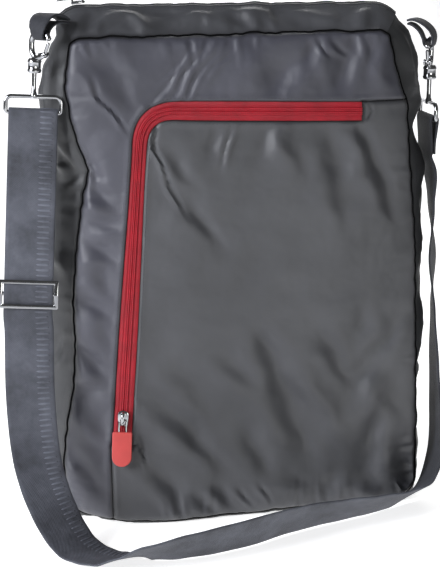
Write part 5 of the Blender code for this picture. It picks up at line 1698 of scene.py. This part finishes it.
# Zip sliders and pulls: a slider's outline as shares of its width and length, and its bridge from the side,
# as a share of the length and a rise in metres
SLIDER_OUTLINE = (
    (-0.5, -0.30), (-0.34, -0.48), (0.0, -0.54), (0.34, -0.48), (0.5, -0.30),
    (0.47, 0.1), (0.40, 0.5), (0.0, 0.44), (-0.40, 0.5), (-0.47, 0.1),
)
SLIDER_BRIDGE = (
    (-0.40, 0.0006), (-0.38, 0.0042), (-0.20, 0.0058), (0.16, 0.0058), (0.36, 0.0042), (0.40, 0.0006),
)
LAID = Matrix.Rotation(math.radians(-90), 4, "X")


def frame_of(across, ahead, out, origin):
    """The matrix of a frame from its three ways and its origin."""
    return Matrix((*zip(across, ahead, out, origin), (0, 0, 0, 1)))


def slider_parts(matrix, size):
    """A slider with two wings over the coil, a raised middle and a bridge along it."""
    width, low, high = size * 0.70, COIL_RISE + 0.0003, COIL_RISE + 0.0021
    lay = Matrix(((1, 0, 0, 0), (0, 0, 1, 0), (0, 1, 0, 0), (0, 0, 0, 1)))
    wings = plate([(x * width, y * size) for x, y in SLIDER_OUTLINE], low, high, 0.0005)
    inset = [(x * width * 0.55, y * size * 0.8) for x, y in SLIDER_OUTLINE]
    body = plate(inset, high - 0.0003, high + 0.0006, 0.0004)
    path = smooth_path([(0, y * size, low + rise) for y, rise in SLIDER_BRIDGE], 0.0004)
    bridge = wire(path, X_WAY, 0.0008, 12, flat=1.5)
    return [(matrix @ lay, *wings), (matrix @ lay, *body), (matrix, *bridge)]


def slider_frame(origin, down, normal):
    """A frame at a slider: X across the zip, Y along it toward the hanging pull, Z out of the cloth."""
    down = (down - normal * down.dot(normal)).normalized()
    return frame_of(down.cross(normal), down, normal, origin)


def bridge_spot(size):
    """Where a pull hangs in the bridge, in the slider's own frame."""
    return Vector((0, size * HINGE_SHARE, COIL_RISE + BRIDGE_RISE))


def lifted(frame_at, size, degrees):
    """The frame of a pull: on the line where it hangs in the bridge, and turned outward about that line."""
    return frame_at @ Matrix.Translation(bridge_spot(size)) @ Matrix.Rotation(math.radians(degrees), 4, "X")


def smooth_front(x, z):
    """A point of the plain front surface and its outward normal."""
    x, z = np.array([x]), np.array([z])
    slope_x, slope_z = slopes(front_y, x, z, 0.0006, False)
    point = Vector((x[0], front_y(x, z, False)[0], z[0]))
    return point, Vector((slope_x[0], -1.0, slope_z[0])).normalized()


def build_slider(name, joint, place, size):
    """A slider moved so that its bridge holds its pull at the joint."""
    hinge = next(row["pos_m"] for row in frame["joints"] if row["name"] == joint)
    place.translation += Vector(hinge) - place @ bridge_spot(size)
    metal_piece(name + "_metal", slider_parts(place, size), "bag", name)


def build_zip_metal():
    """Both sliders with their pulls, from the places of the solids."""
    point, normal = smooth_front(*slider_spot())
    end, _ = smooth_front(*ZIP_BOTTOM)
    place = slider_frame(point, (end - point).normalized() - Z_WAY, normal)
    build_slider("pocket_slider", "pocket_pull_hinge", place, POCKET_SLIDER)
    build_pocket_pull(lifted(place, POCKET_SLIDER, 5.0))
    place = slider_frame(Vector(), Vector(RIDGE_WAY).normalized(), Vector(RIDGE_UP).normalized())
    build_slider("main_slider", "main_pull_hinge", place, MAIN_SLIDER)
    build_main_pull(lifted(place, MAIN_SLIDER, 2.0))


def slider_spot():
    """Where the pocket slider sits, on the last stretch of the zip."""
    corner, low = np.array(ZIP_CORNER), np.array(ZIP_BOTTOM)
    stop = corner + unit(low - corner) * ZIP_TURN
    return stop + (low - stop) * SLIDER_SHARE


def build_pocket_pull(matrix):
    """A wire loop through the bridge and the rubber grip that it holds."""
    reach, stop, bend = 0.0028, 0.0100, 0.0009
    side, far = reach - bend, stop - bend
    path = []
    for start, x, y in ((-180, -side, bend), (-90, side, bend), (0, side, far), (90, -side, far)):
        path += [Vector((*spot, 0)) for spot in arc(bend, range(start, start + 91, 18), x, y)]
    link = wire(path, Z_WAY, 0.00075, 12, closed=True)
    metal_piece("pocket_pull_wire", [(matrix, *link)], "pocket_pull", "pocket_pull")
    wide, long, thick = 0.0155, 0.0275, 0.0030
    top = stop - 0.0012
    corner = [(wide / 2 - 0.0012, top), (wide / 2 - 0.0003, top + 0.0003), (wide / 2, top + 0.0012)]
    outline = [(-x, y) for x, y in reversed(corner)] + corner
    outline += arc(wide / 2, range(0, 181, 9), 0.0, top + long - wide / 2)
    slab = plate(outline, -thick / 2, thick / 2, 0.0008, 4)
    grip = joined("pocket_pull_rubber", [(matrix @ LAID, *slab)], look("grip_red"))
    finish_piece(grip, "pocket_pull", "grip_red", "pocket_pull_grip")


def build_main_pull(matrix):
    """A thin metal pull with an eye round the bridge."""
    side = ((0.0027, 0.0000), (0.0028, 0.0040), (0.0022, 0.0062))
    rods = [[(sign * x, y, 0) for x, y in side] for sign in (-1, 1)]
    rods.append([(-0.0028, 0, 0), (0, -0.0003, 0), (0.0028, 0, 0)])
    arms = [(matrix, *wire(smooth_path(rod, 0.0006), Z_WAY, 0.0005, 10)) for rod in rods]
    blade = [(-0.0022, 0.0056), (0.0022, 0.0056), (0.0024, 0.0100), (0.0029, 0.0150), (0.0015, 0.0169)]
    blade += [(-0.0015, 0.0169), (-0.0029, 0.0150), (-0.0024, 0.0100)]
    arms.append((matrix @ LAID, *plate(blade, -0.0005, 0.0005, 0.0002)))
    metal_piece("main_pull_metal", arms, "main_pull", "main_pull")


# Hooks
def hung(spot, lean, turn):
    """A frame at a spot that leans to its side and is turned about its own upright."""
    leaning = Matrix.Rotation(math.radians(-lean), 4, "Y")
    return Matrix.Translation(spot) @ leaning @ Matrix.Rotation(math.radians(turn), 4, "Z")


def hook_matrix(side):
    """The claw's own frame, from the top of its wire."""
    top, turn, lean, _ = HOOKS[side]
    return hung(top, lean, turn)


def ring_matrix(side):
    """The ring's own frame: its stem stands on the swivel line of the hook."""
    _, _, lean, ring_turn = HOOKS[side]
    return hung(hook_matrix(side) @ Vector((STEM_OFF, 0, 0)), lean, ring_turn)


def build_hook(side):
    """The claw with its barrel and the cheeks of the gate, the sprung gate, and the ring with its stem."""
    matrix = hook_matrix(side)
    claw = [(x * MM, z * MM) for x, z in CLAW_PATH] + arc(CLAW_HALF, range(180, 0, -20), 0.0, -CLAW_HALF)
    claw = smooth_path([(x, 0, z) for x, z in claw], 0.0008)
    pin_x, pin_z = HINGE
    cheek = [((pin_x + x) * MM, (pin_z + z) * MM) for x, z in CHEEK]
    pin = [Vector((pin_x * MM, y, pin_z * MM)) for y in (-0.0036, -0.0034, 0.0034, 0.0036)]
    swivel = matrix @ Matrix.Translation(Vector((STEM_OFF, 0, 0)))
    parts = [
        (matrix, *wire(claw, Y_WAY, CLAW_WIRE, 20, ends=0.8)),
        (swivel, *turned([(r * MM, z * MM) for r, z in BARREL])),
        (matrix, *plate(cheek, 0.0018, 0.0030, 0.0003)),
        (matrix, *plate(cheek, -0.0030, -0.0018, 0.0003)),
        (matrix, *wire(pin, Z_WAY, 0.0010, 12, ends=0.7)),
    ]
    metal_piece("hook_claw_" + side, parts, "bag", "hook_body_" + side)

    place = matrix @ Matrix.Translation(Vector((pin_x * MM, 0, pin_z * MM)))
    arm = smooth_path([(x * MM, 0, z * MM) for x, z in GATE_PATH], 0.0008)
    eye = [Vector((0, y, 0)) for y in (-0.00145, -0.0012, 0.0012, 0.00145)]
    parts = [
        (place, *wire(arm, Y_WAY, 0.00135, 14, ends=0.75)),
        (place, *wire(eye, Z_WAY, 0.0021, 18, ends=0.9)),
    ]
    metal_piece("hook_gate_arm_" + side, parts, "gate_" + side, "hook_gate_" + side)

    wide, tall = RING_INSIDE[0] / 2 + RING_WIRE, RING_INSIDE[1] / 2 + RING_WIRE
    path = []
    for sign_x, sign_z, start, bend in RING_CORNERS:
        turn = arc(bend, range(start, start + 91, 15), sign_x * (wide - bend), sign_z * (tall - bend))
        path += [Vector((x, 0, z - RING_DROP)) for x, z in turn]
    parts = [
        (ring_matrix(side), *wire(path, Y_WAY, RING_WIRE, 18, closed=True)),
        (ring_matrix(side), *turned([(r * MM, z * MM) for r, z in STEM])),
    ]
    metal_piece("hook_ring_wire_" + side, parts, "bag", "hook_ring_" + side)


# Webbing: the radius of the strap's middle line where it goes over a ring's bar
BAR_TURN = RING_WIRE + 0.0004 + STRAP_THICK / 2


def band(name, stations, width, thick, material, columns=12, tapered=False):
    """A woven band through stations (centre, way across), with rounded edges and a cloth map in metres.

    A tapered band is as much of its width at each station as the way across there is long.
    """
    half, edge = width / 2, thick / 2
    flat = np.linspace(-1, 1, columns + 1)
    profile = [(a * (half - edge * 0.7), -edge) for a in flat]
    profile += [(half - edge * 0.25, -edge * 0.6), (half, 0.0), (half - edge * 0.25, edge * 0.6)]
    profile += [(a * (half - edge * 0.7), edge) for a in flat[::-1]]
    profile += [(-half + edge * 0.25, edge * 0.6), (-half, 0.0), (-half + edge * 0.25, -edge * 0.6)]
    points, sections, places, painted_shade = [], [], [], []
    frames = band_frames(stations)
    travelled, last = 0.0, frames[0][0]
    for (spot, _, across, out), (_, way) in zip(frames, stations):
        travelled += (spot - last).length
        last = spot
        share = way.length if tapered else 1.0
        section = []
        for a, b in profile:
            section.append(len(points))
            points.append(spot + across * a * share + out * b)
            places.append((travelled, a * share))
            painted_shade.append(side_shade(spot.x))
        sections.append(section)
    made = mesh_object(name, points, tube_faces(sections, False), material, places, painted_shade=painted_shade)
    return made, frames


def side_shade(x):
    """How much of its own tone the webbing shows at this x: less where it hangs in the bag's shade."""
    return 1 - (1 - STRAP_SHADE) * float(np.clip((x - 0.94 * HALF_WIDTH) / 0.016, 0, 1))


def band_frames(stations):
    """Centre, run, way across and outward way at every station of a band."""
    frames = []
    last = len(stations) - 1
    for i, (spot, across) in enumerate(stations):
        run = (stations[min(i + 1, last)][0] - stations[max(i - 1, 0)][0]).normalized()
        across = (across - run * across.dot(run)).normalized()
        frames.append((spot, run, across, run.cross(across)))
    return frames


def fine_stations(stations, step):
    """Stations on a smooth line through the given ones, about a step apart."""
    made = []
    last = len(stations) - 1
    for i in range(last):
        (a, side_a), (b, side_b) = stations[i], stations[i + 1]
        before, after = stations[max(i - 1, 0)][0], stations[min(i + 2, last)][0]
        size = (b - a).length
        go = (b - before).normalized() * size if i else b - a
        come = (after - a).normalized() * size if i + 2 <= last else b - a
        pieces = max(1, round(size / step))
        for s in (k / pieces for k in range(pieces)):
            made.append((eased(a, b, go, come, s), side_a.lerp(side_b, s * s * (3 - 2 * s))))
    made.append(stations[-1])
    return made


def chain_frame():
    """Where the left ring's lower bar is, the way down to the buckle, across, and out."""
    matrix = ring_matrix("left")
    start = matrix @ Vector((0, 0, -RING_DROP - RING_INSIDE[1] / 2 - RING_WIRE))
    across = (matrix.to_3x3() @ X_WAY).normalized()
    lean = math.radians(CHAIN_FORWARD)
    down = (matrix.to_3x3() @ Vector((0, -math.sin(lean), -math.cos(lean)))).normalized()
    return start, down, across, down.cross(across)


def doubled_part():
    """Strap stations from the sewn end at the buckle, up behind, over the ring's bar and down in front."""
    start, down, across, out = chain_frame()
    long = CHAIN_LENGTH / MM
    stations = [(-0.1, long - 19.0), (-0.1, long - 13.0), (0.0, long - 9.0)]
    stations += [(1.6, long - 4.5), (2.6, long - 1.2)]
    stations += arc(2.85, (25, 60, 90, 120, 155), 0.0, long)
    stations += [(-2.75, long - 2.0), (-2.4, long - 9.0), (-2.15, long - 30)]
    stations += [(-2.1, long * 0.6), (-2.1, long * 0.35), (-2.3, 18), (-2.75, 6)]
    stations += [(f, -d) for f, d in arc(BAR_TURN / MM, range(180, -1, -30))]
    stations += [(2.6, 6), (2.1, 18), (1.95, long * 0.35), (1.95, long * 0.6)]
    stations += [(1.95, long - 30), (1.95, long - 20), (1.9, long - 8.2)]
    stations += [(3.3, long - 5.2), (4.5, long - 2.2), (4.5, long + 2.2)]
    stations += [(3.3, long + 5.2), (1.9, long + 8.2), (1.6, long + 17)]
    return [(start + down * d * MM + out * f * MM, across) for f, d in stations]


def right_part():
    """Strap stations round the lower bar of the right ring, ending on the far side of the climbing strap."""
    matrix = ring_matrix("right")
    centre = matrix @ Vector((0, 0, -RING_DROP - RING_INSIDE[1] / 2 - RING_WIRE))
    across = (matrix.to_3x3() @ X_WAY).normalized()
    up = (matrix.to_3x3() @ Z_WAY).normalized()
    out = up.cross(across)
    flat = [(0.8, -30), (1.1, -20), (2.2, -8)]
    flat += arc(BAR_TURN / MM, range(0, 181, 30))
    flat += [(-2.2, -8), (-1.15, -18), (-1.15, -27)]
    return [(centre + out * g * MM + up * e * MM, across) for g, e in flat]


def strap_route():
    """Place and way across at every row of the strap's tables."""
    start, down, _, _ = chain_frame()
    buckle = start + down * CHAIN_LENGTH
    ring = ring_matrix("right") @ Vector((0, 0, -RING_DROP))
    rows = []
    for table, height in ((STRAP_LEFT, buckle.z), (STRAP_FLOOR, STRAP_WIDTH), (STRAP_RIGHT, ring.z)):
        for x, y, z, *side in table:
            rows.append((Vector((x * HALF_WIDTH, y * STRAP_REACH, z * height)), Vector(side).normalized()))
    return rows


def build_strap(sizes):
    """The webbing strap, with a plain ladder of bars on its outer face up to the bag's right side."""
    stations = fine_stations(doubled_part() + strap_route() + right_part(), 0.0026)
    strap, frames = band("strap_webbing", stations, STRAP_WIDTH, STRAP_THICK, look("webbing"), 14)
    finish_piece(strap, "bag", "webbing", "strap")
    spots, outs = [], []
    for spot, _, across, out in frames[8:]:
        if side_shade(spot.x) < 1:
            break
        spots.append(spot + across * sizes.bar_offset + out * STRAP_THICK / 2)
        outs.append(out)
    pitch, wide, long = sizes.bar_pitch, sizes.bar_width, sizes.bar_length
    bars = bit_rows("strap_bars", [(spots, outs)], pitch, wide, long, 0.0011, look("bars"))
    finish_piece(bars, "bag", "webbing")


def build_tab(side):
    """The webbing loop sewn to the shoulder, closed round the top of the claw."""
    base, top = TAB_BASES[side], HOOKS[side][0]
    way = Vector((top.x - base.x, top.y - base.y, 0))
    reach = way.length
    way.normalize()
    across = Vector((-way.y, way.x, 0))
    stations = []
    for share, rise, wide in TAB_PATH[side]:
        spot = base + way * reach * share + Vector((0, 0, top.z - base.z + rise * MM))
        stations.append((spot, across * wide))
    fine = fine_stations(stations, 0.0009)
    made, _ = band("tab_webbing_" + side, fine, TAB_WIDTH, TAB_THICK, look("tabs"), 8, True)
    finish_piece(made, "bag", "webbing", "tab_" + side)


def build_buckle():
    """The slide buckle: a frame in front of the strap and a bar behind it, joined at the sides."""
    start, down, across, out = chain_frame()
    matrix = frame_of(across, -out, -down, start + down * CHAIN_LENGTH)
    wide, tall, bar = 0.0232, 0.0112, 0.0033
    near, far, crown = -0.0047, -0.0031, 0.0009
    corners = ((-1, -1), (1, -1), (1, 0), (1, 1), (-1, 1), (-1, 0))
    form = bmesh.new()
    rings = []
    for y, rise in ((near, crown), (far, 0.0)):
        for inset in (0.0, bar):
            rings.append([
                form.verts.new((sx * (wide - inset), y - rise * (1 - abs(sz)), sz * (tall - inset)))
                for sx, sz in corners
            ])
    outer_near, inner_near, outer_far, inner_far = rings
    for k in range(6):
        j = (k + 1) % 6
        form.faces.new((outer_near[k], outer_near[j], inner_near[j], inner_near[k]))
        form.faces.new((outer_far[j], outer_far[k], inner_far[k], inner_far[j]))
        form.faces.new((outer_near[j], outer_near[k], outer_far[k], outer_far[j]))
        form.faces.new((inner_near[k], inner_near[j], inner_far[j], inner_far[k]))
    bmesh.ops.bevel(form, geom=list(form.edges), offset=0.0006, segments=3, profile=0.5, affect="EDGES")
    parts = [(matrix, *shell_of(form))]
    ear = ((wide - bar, -0.0030), (wide, -0.0030), (wide, 0.0030), (wide - bar, 0.0030))
    for sign in (-1, 1):
        parts.append((matrix, *plate([(sign * x, z) for x, z in ear], far - 0.0004, 0.0016, 0.0004)))
    path = [Vector((x, 0, 0)) for x in (-wide + 0.0006, -wide + 0.001, wide - 0.001, wide - 0.0006)]
    parts.append((matrix, *wire(path, Y_WAY, 0.0016, 16)))
    metal_piece("slide_buckle_metal", parts, "bag", "tri_glide")


# Stage
CAMERA_TARGET = Vector((-0.010, 0.0, 0.181))
CAMERA_YAW = 5.5
CAMERA_PITCH = 12.0
CAMERA_ROLL = -1.1
CAMERA_DISTANCE = 1.5
CAMERA_LENS = 118.16
# Painted glow of the paper: its strength, and where it fades to the sides and to the front
PAPER_GLOW = 0.75
PAPER_SIDES = (0.55, 1.10)
PAPER_FRONT = (-0.40, -0.75)


def camera_matrix():
    """The camera's frame: turned about the bag, raised, and rolled a little."""
    yaw, pitch, roll = (math.radians(angle) for angle in (CAMERA_YAW, CAMERA_PITCH, CAMERA_ROLL))
    back = Vector((-math.sin(yaw) * math.cos(pitch), -math.cos(yaw) * math.cos(pitch), math.sin(pitch)))
    level = (-back).cross(Z_WAY).normalized()
    above = level.cross(-back)
    right = level * math.cos(roll) + above * math.sin(roll)
    up = above * math.cos(roll) - level * math.sin(roll)
    return frame_of(right, up, back, CAMERA_TARGET + back * CAMERA_DISTANCE)


def area_light(name, spot, target, size, power, colour=(1.0, 1.0, 1.0)):
    """A soft light at a spot that points at a target."""
    lamp = bpy.data.lights.new(name, "AREA")
    lamp.shape = "RECTANGLE"
    lamp.size, lamp.size_y = size
    lamp.energy = power
    lamp.color = colour
    made = added(name, lamp)
    made.location = spot
    made.rotation_euler = (Vector(target) - Vector(spot)).to_track_quat("-Z", "Y").to_euler()


def glow_field(tree, surface):
    """Painted glow of the paper round the bag, as if light came through it: it fades to the sides and the
    front.
    """
    place = tree.nodes.new("ShaderNodeTexCoord")
    split = tree.nodes.new("ShaderNodeSeparateXYZ")
    tree.links.new(place.outputs["Object"], split.inputs["Vector"])
    aside = maths(tree, "ABSOLUTE", split.outputs["X"])
    strength = PAPER_GLOW
    for source, near, far in ((aside, *PAPER_SIDES), (split.outputs["Y"], *PAPER_FRONT)):
        fade = node(
            tree, "ShaderNodeMapRange", interpolation_type="SMOOTHSTEP",
            From_Min=near, From_Max=far, To_Min=1.0, To_Max=0.0,
        )
        tree.links.new(source, fade.inputs["Value"])
        strength = maths(tree, "MULTIPLY", fade.outputs["Result"], strength)
    tree.links.new(strength, surface.inputs["Emission Strength"])


def build_paper():
    """A sweep of white paper: a floor that turns up into a backdrop far behind the bag."""
    wide, back, bend = 4.0, 3.0, 0.8
    profile = [(-6.0, 0.0), (back - bend, 0.0)]
    for angle in range(10, 91, 10):
        turn = math.radians(angle)
        profile.append((back - bend + bend * math.sin(turn), bend - bend * math.cos(turn)))
    profile.append((back, 3.0))
    points = [(x, y, z) for y, z in profile for x in (-wide, wide)]
    faces = [(2 * i, 2 * i + 1, 2 * i + 3, 2 * i + 2) for i in range(len(profile) - 1)]
    mesh = bpy.data.meshes.new("studio_paper")
    mesh.from_pydata(points, [], faces)
    made = added("studio_paper", mesh)
    white = (0.90, 0.90, 0.90)
    paper, tree, surface = shader("white_paper", white, 0.85)
    tone(tree, surface, object_noise(tree, 3.0), white, 0.99, 1.0)
    surface.inputs["Emission Color"].default_value = (1.0, 1.0, 1.0, 1.0)
    glow_field(tree, surface)
    made.data.materials.append(paper)


def build_stage():
    """The pale floor, the soft studio lights, the pale surroundings and the camera."""
    scene = bpy.context.scene
    build_paper()
    area_light("key_light", (-2.0, -1.15, 1.2), (0.0, 0.0, 0.2), (1.1, 1.3), 82.0, (0.93, 0.95, 1.0))
    area_light("front_light", (0.9, -2.5, 0.30), (0.05, 0.0, 0.12), (1.3, 0.7), 14.0, (1.0, 1.0, 0.95))
    area_light("back_light", (0.3, 1.5, 1.6), (0.0, 0.1, 0.1), (1.2, 0.5), 10.0)
    world = bpy.data.worlds.new("white_surroundings")
    scene.world = world
    world.use_nodes = True
    background = world.node_tree.nodes["Background"]
    background.inputs["Color"].default_value = (1.0, 1.0, 1.0, 1.0)
    background.inputs["Strength"].default_value = 0.10
    scene.view_settings.view_transform = "Standard"
    lens = bpy.data.cameras.new("bag_camera")
    lens.lens = CAMERA_LENS
    lens.sensor_width = 36.0
    lens.clip_end = 50.0
    camera = added("bag_camera", lens)
    camera.matrix_world = camera_matrix()
    scene.camera = camera


# What a user may change
class BagSizes(bpy.types.PropertyGroup):
    cell: FloatProperty(
        name="Cloth cell", description="Distance between the points of the front cloth", default=0.0020,
        min=0.0015, max=0.01, subtype="DISTANCE", unit="LENGTH",
    )
    stitch_pitch: FloatProperty(
        name="Stitch pitch", description="Distance from stitch to stitch of the topstitching", default=0.0030,
        min=0.001, max=0.01, subtype="DISTANCE", unit="LENGTH",
    )
    coil_pitch: FloatProperty(
        name="Coil pitch", description="Distance from turn to turn of the zip coils", default=0.0015,
        min=0.0008, max=0.004, subtype="DISTANCE", unit="LENGTH",
    )
    bar_pitch: FloatProperty(
        name="Bar pitch", description="Distance from bar to bar on the strap", default=0.0042,
        min=0.002, max=0.02, subtype="DISTANCE", unit="LENGTH",
    )
    bar_width: FloatProperty(
        name="Bar width", description="Size of a raised bar along the strap", default=0.0023,
        min=0.0004, max=0.01, subtype="DISTANCE", unit="LENGTH",
    )
    bar_length: FloatProperty(
        name="Bar length", description="Size of a raised bar across the strap", default=0.0130,
        min=0.002, max=0.03, subtype="DISTANCE", unit="LENGTH",
    )
    bar_offset: FloatProperty(
        name="Bar offset", description="How far the ladder of bars lies from the middle of the strap",
        default=0.0106, min=-0.012, max=0.012, subtype="DISTANCE", unit="LENGTH",
    )


class BagColours(bpy.types.PropertyGroup):
    nylon: FloatVectorProperty(
        name="Nylon", description="Cloth of the front, back and top", subtype="COLOR", size=3,
        default=(0.054, 0.055, 0.061), min=0.0, max=1.0,
    )
    # A darker copy of the nylon: painted shade for the gusset's sides
    nylon_side: FloatVectorProperty(
        name="Side nylon", description="Cloth of the gusset", subtype="COLOR", size=3,
        default=(0.036, 0.037, 0.040), min=0.0, max=1.0,
    )
    webbing: FloatVectorProperty(
        name="Webbing", description="Strap and tabs", subtype="COLOR", size=3,
        default=(0.072, 0.076, 0.093), min=0.0, max=1.0,
    )
    zip_red: FloatVectorProperty(
        name="Pocket zip", description="Tape of the pocket zip", subtype="COLOR", size=3,
        default=(0.29, 0.004, 0.013), min=0.0, max=1.0,
    )
    zip_dark: FloatVectorProperty(
        name="Main zip", description="Tape of the main zip", subtype="COLOR", size=3,
        default=(0.020, 0.021, 0.024), min=0.0, max=1.0,
    )
    grip_red: FloatVectorProperty(
        name="Rubber grip", description="Grip of the pocket pull", subtype="COLOR", size=3,
        default=(0.48, 0.052, 0.048), min=0.0, max=1.0,
    )
    metal: FloatVectorProperty(
        name="Metal", description="Hooks, sliders, rings and buckle", subtype="COLOR", size=3,
        default=(0.42, 0.425, 0.44), min=0.0, max=1.0,
    )


# One operator for each piece or group of like pieces
class BAG_OT_front(bpy.types.Operator):
    """Build the yoke and the pocket panel"""
    bl_idname = "bag.front"
    bl_label = "Front Panels"

    def execute(self, context):
        build_front(context.scene.bag_sizes.cell)
        return {"FINISHED"}


class BAG_OT_back(bpy.types.Operator):
    """Build the back panel"""
    bl_idname = "bag.back"
    bl_label = "Back Panel"

    def execute(self, context):
        build_back(context.scene.bag_sizes.cell * 2.0)
        return {"FINISHED"}


class BAG_OT_gusset(bpy.types.Operator):
    """Build the gusset and the top strips"""
    bl_idname = "bag.gusset"
    bl_label = "Gusset and Top"

    def execute(self, context):
        build_gusset()
        build_seam_shadow_lines()
        build_top()
        return {"FINISHED"}


class BAG_OT_zips(bpy.types.Operator):
    """Build both zips with their coils and stitches"""
    bl_idname = "bag.zips"
    bl_label = "Zips"

    def execute(self, context):
        sizes = context.scene.bag_sizes
        build_pocket_zip(sizes)
        front_stitches(sizes)
        build_main_zip(sizes)
        top_stitches(sizes)
        return {"FINISHED"}


class BAG_OT_zip_metal(bpy.types.Operator):
    """Build the zip sliders and their pulls"""
    bl_idname = "bag.zip_metal"
    bl_label = "Sliders and Pulls"

    def execute(self, context):
        build_zip_metal()
        return {"FINISHED"}


class BAG_OT_hooks(bpy.types.Operator):
    """Build the swivel hooks and the tabs that hold them"""
    bl_idname = "bag.hooks"
    bl_label = "Hooks and Tabs"

    def execute(self, context):
        for side in ("left", "right"):
            build_hook(side)
            build_tab(side)
        return {"FINISHED"}


class BAG_OT_strap(bpy.types.Operator):
    """Build the strap and its slide buckle"""
    bl_idname = "bag.strap"
    bl_label = "Strap and Buckle"

    def execute(self, context):
        build_strap(context.scene.bag_sizes)
        build_buckle()
        return {"FINISHED"}


class BAG_OT_stage(bpy.types.Operator):
    """Build the floor, lights and camera"""
    bl_idname = "bag.stage"
    bl_label = "Stage"

    def execute(self, context):
        build_stage()
        return {"FINISHED"}


class BAG_PT_parts(bpy.types.Panel):
    """Lists the parts of the bag with the sizes and colours that can be changed"""
    bl_idname = "BAG_PT_parts"
    bl_label = "Laptop Bag"
    bl_space_type = "VIEW_3D"
    bl_region_type = "UI"
    bl_category = "Bag"

    def draw(self, context):
        layout = self.layout
        for group in (context.scene.bag_sizes, context.scene.bag_colours):
            box = layout.box()
            for name in group.__annotations__:
                box.prop(group, name)
        for operator in OPERATORS:
            layout.operator(operator.bl_idname)


OPERATORS = (
    BAG_OT_stage, BAG_OT_front, BAG_OT_back, BAG_OT_gusset,
    BAG_OT_zips, BAG_OT_zip_metal, BAG_OT_hooks, BAG_OT_strap,
)
CLASSES = (BagSizes, BagColours, *OPERATORS, BAG_PT_parts)


def register():
    """Adds the properties, operators and panel."""
    for cls in CLASSES:
        bpy.utils.register_class(cls)
    bpy.types.Scene.bag_sizes = PointerProperty(type=BagSizes)
    bpy.types.Scene.bag_colours = PointerProperty(type=BagColours)


def unregister():
    """Takes them out again."""
    del bpy.types.Scene.bag_colours
    del bpy.types.Scene.bag_sizes
    for cls in reversed(CLASSES):
        bpy.utils.unregister_class(cls)


def main():
    """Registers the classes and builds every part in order."""
    register()
    for step in (
        bpy.ops.bag.stage,
        bpy.ops.bag.front,
        bpy.ops.bag.back,
        bpy.ops.bag.gusset,
        bpy.ops.bag.zips,
        bpy.ops.bag.zip_metal,
        bpy.ops.bag.hooks,
        bpy.ops.bag.strap,
    ):
        step()


if __name__ == "__main__":
    main()
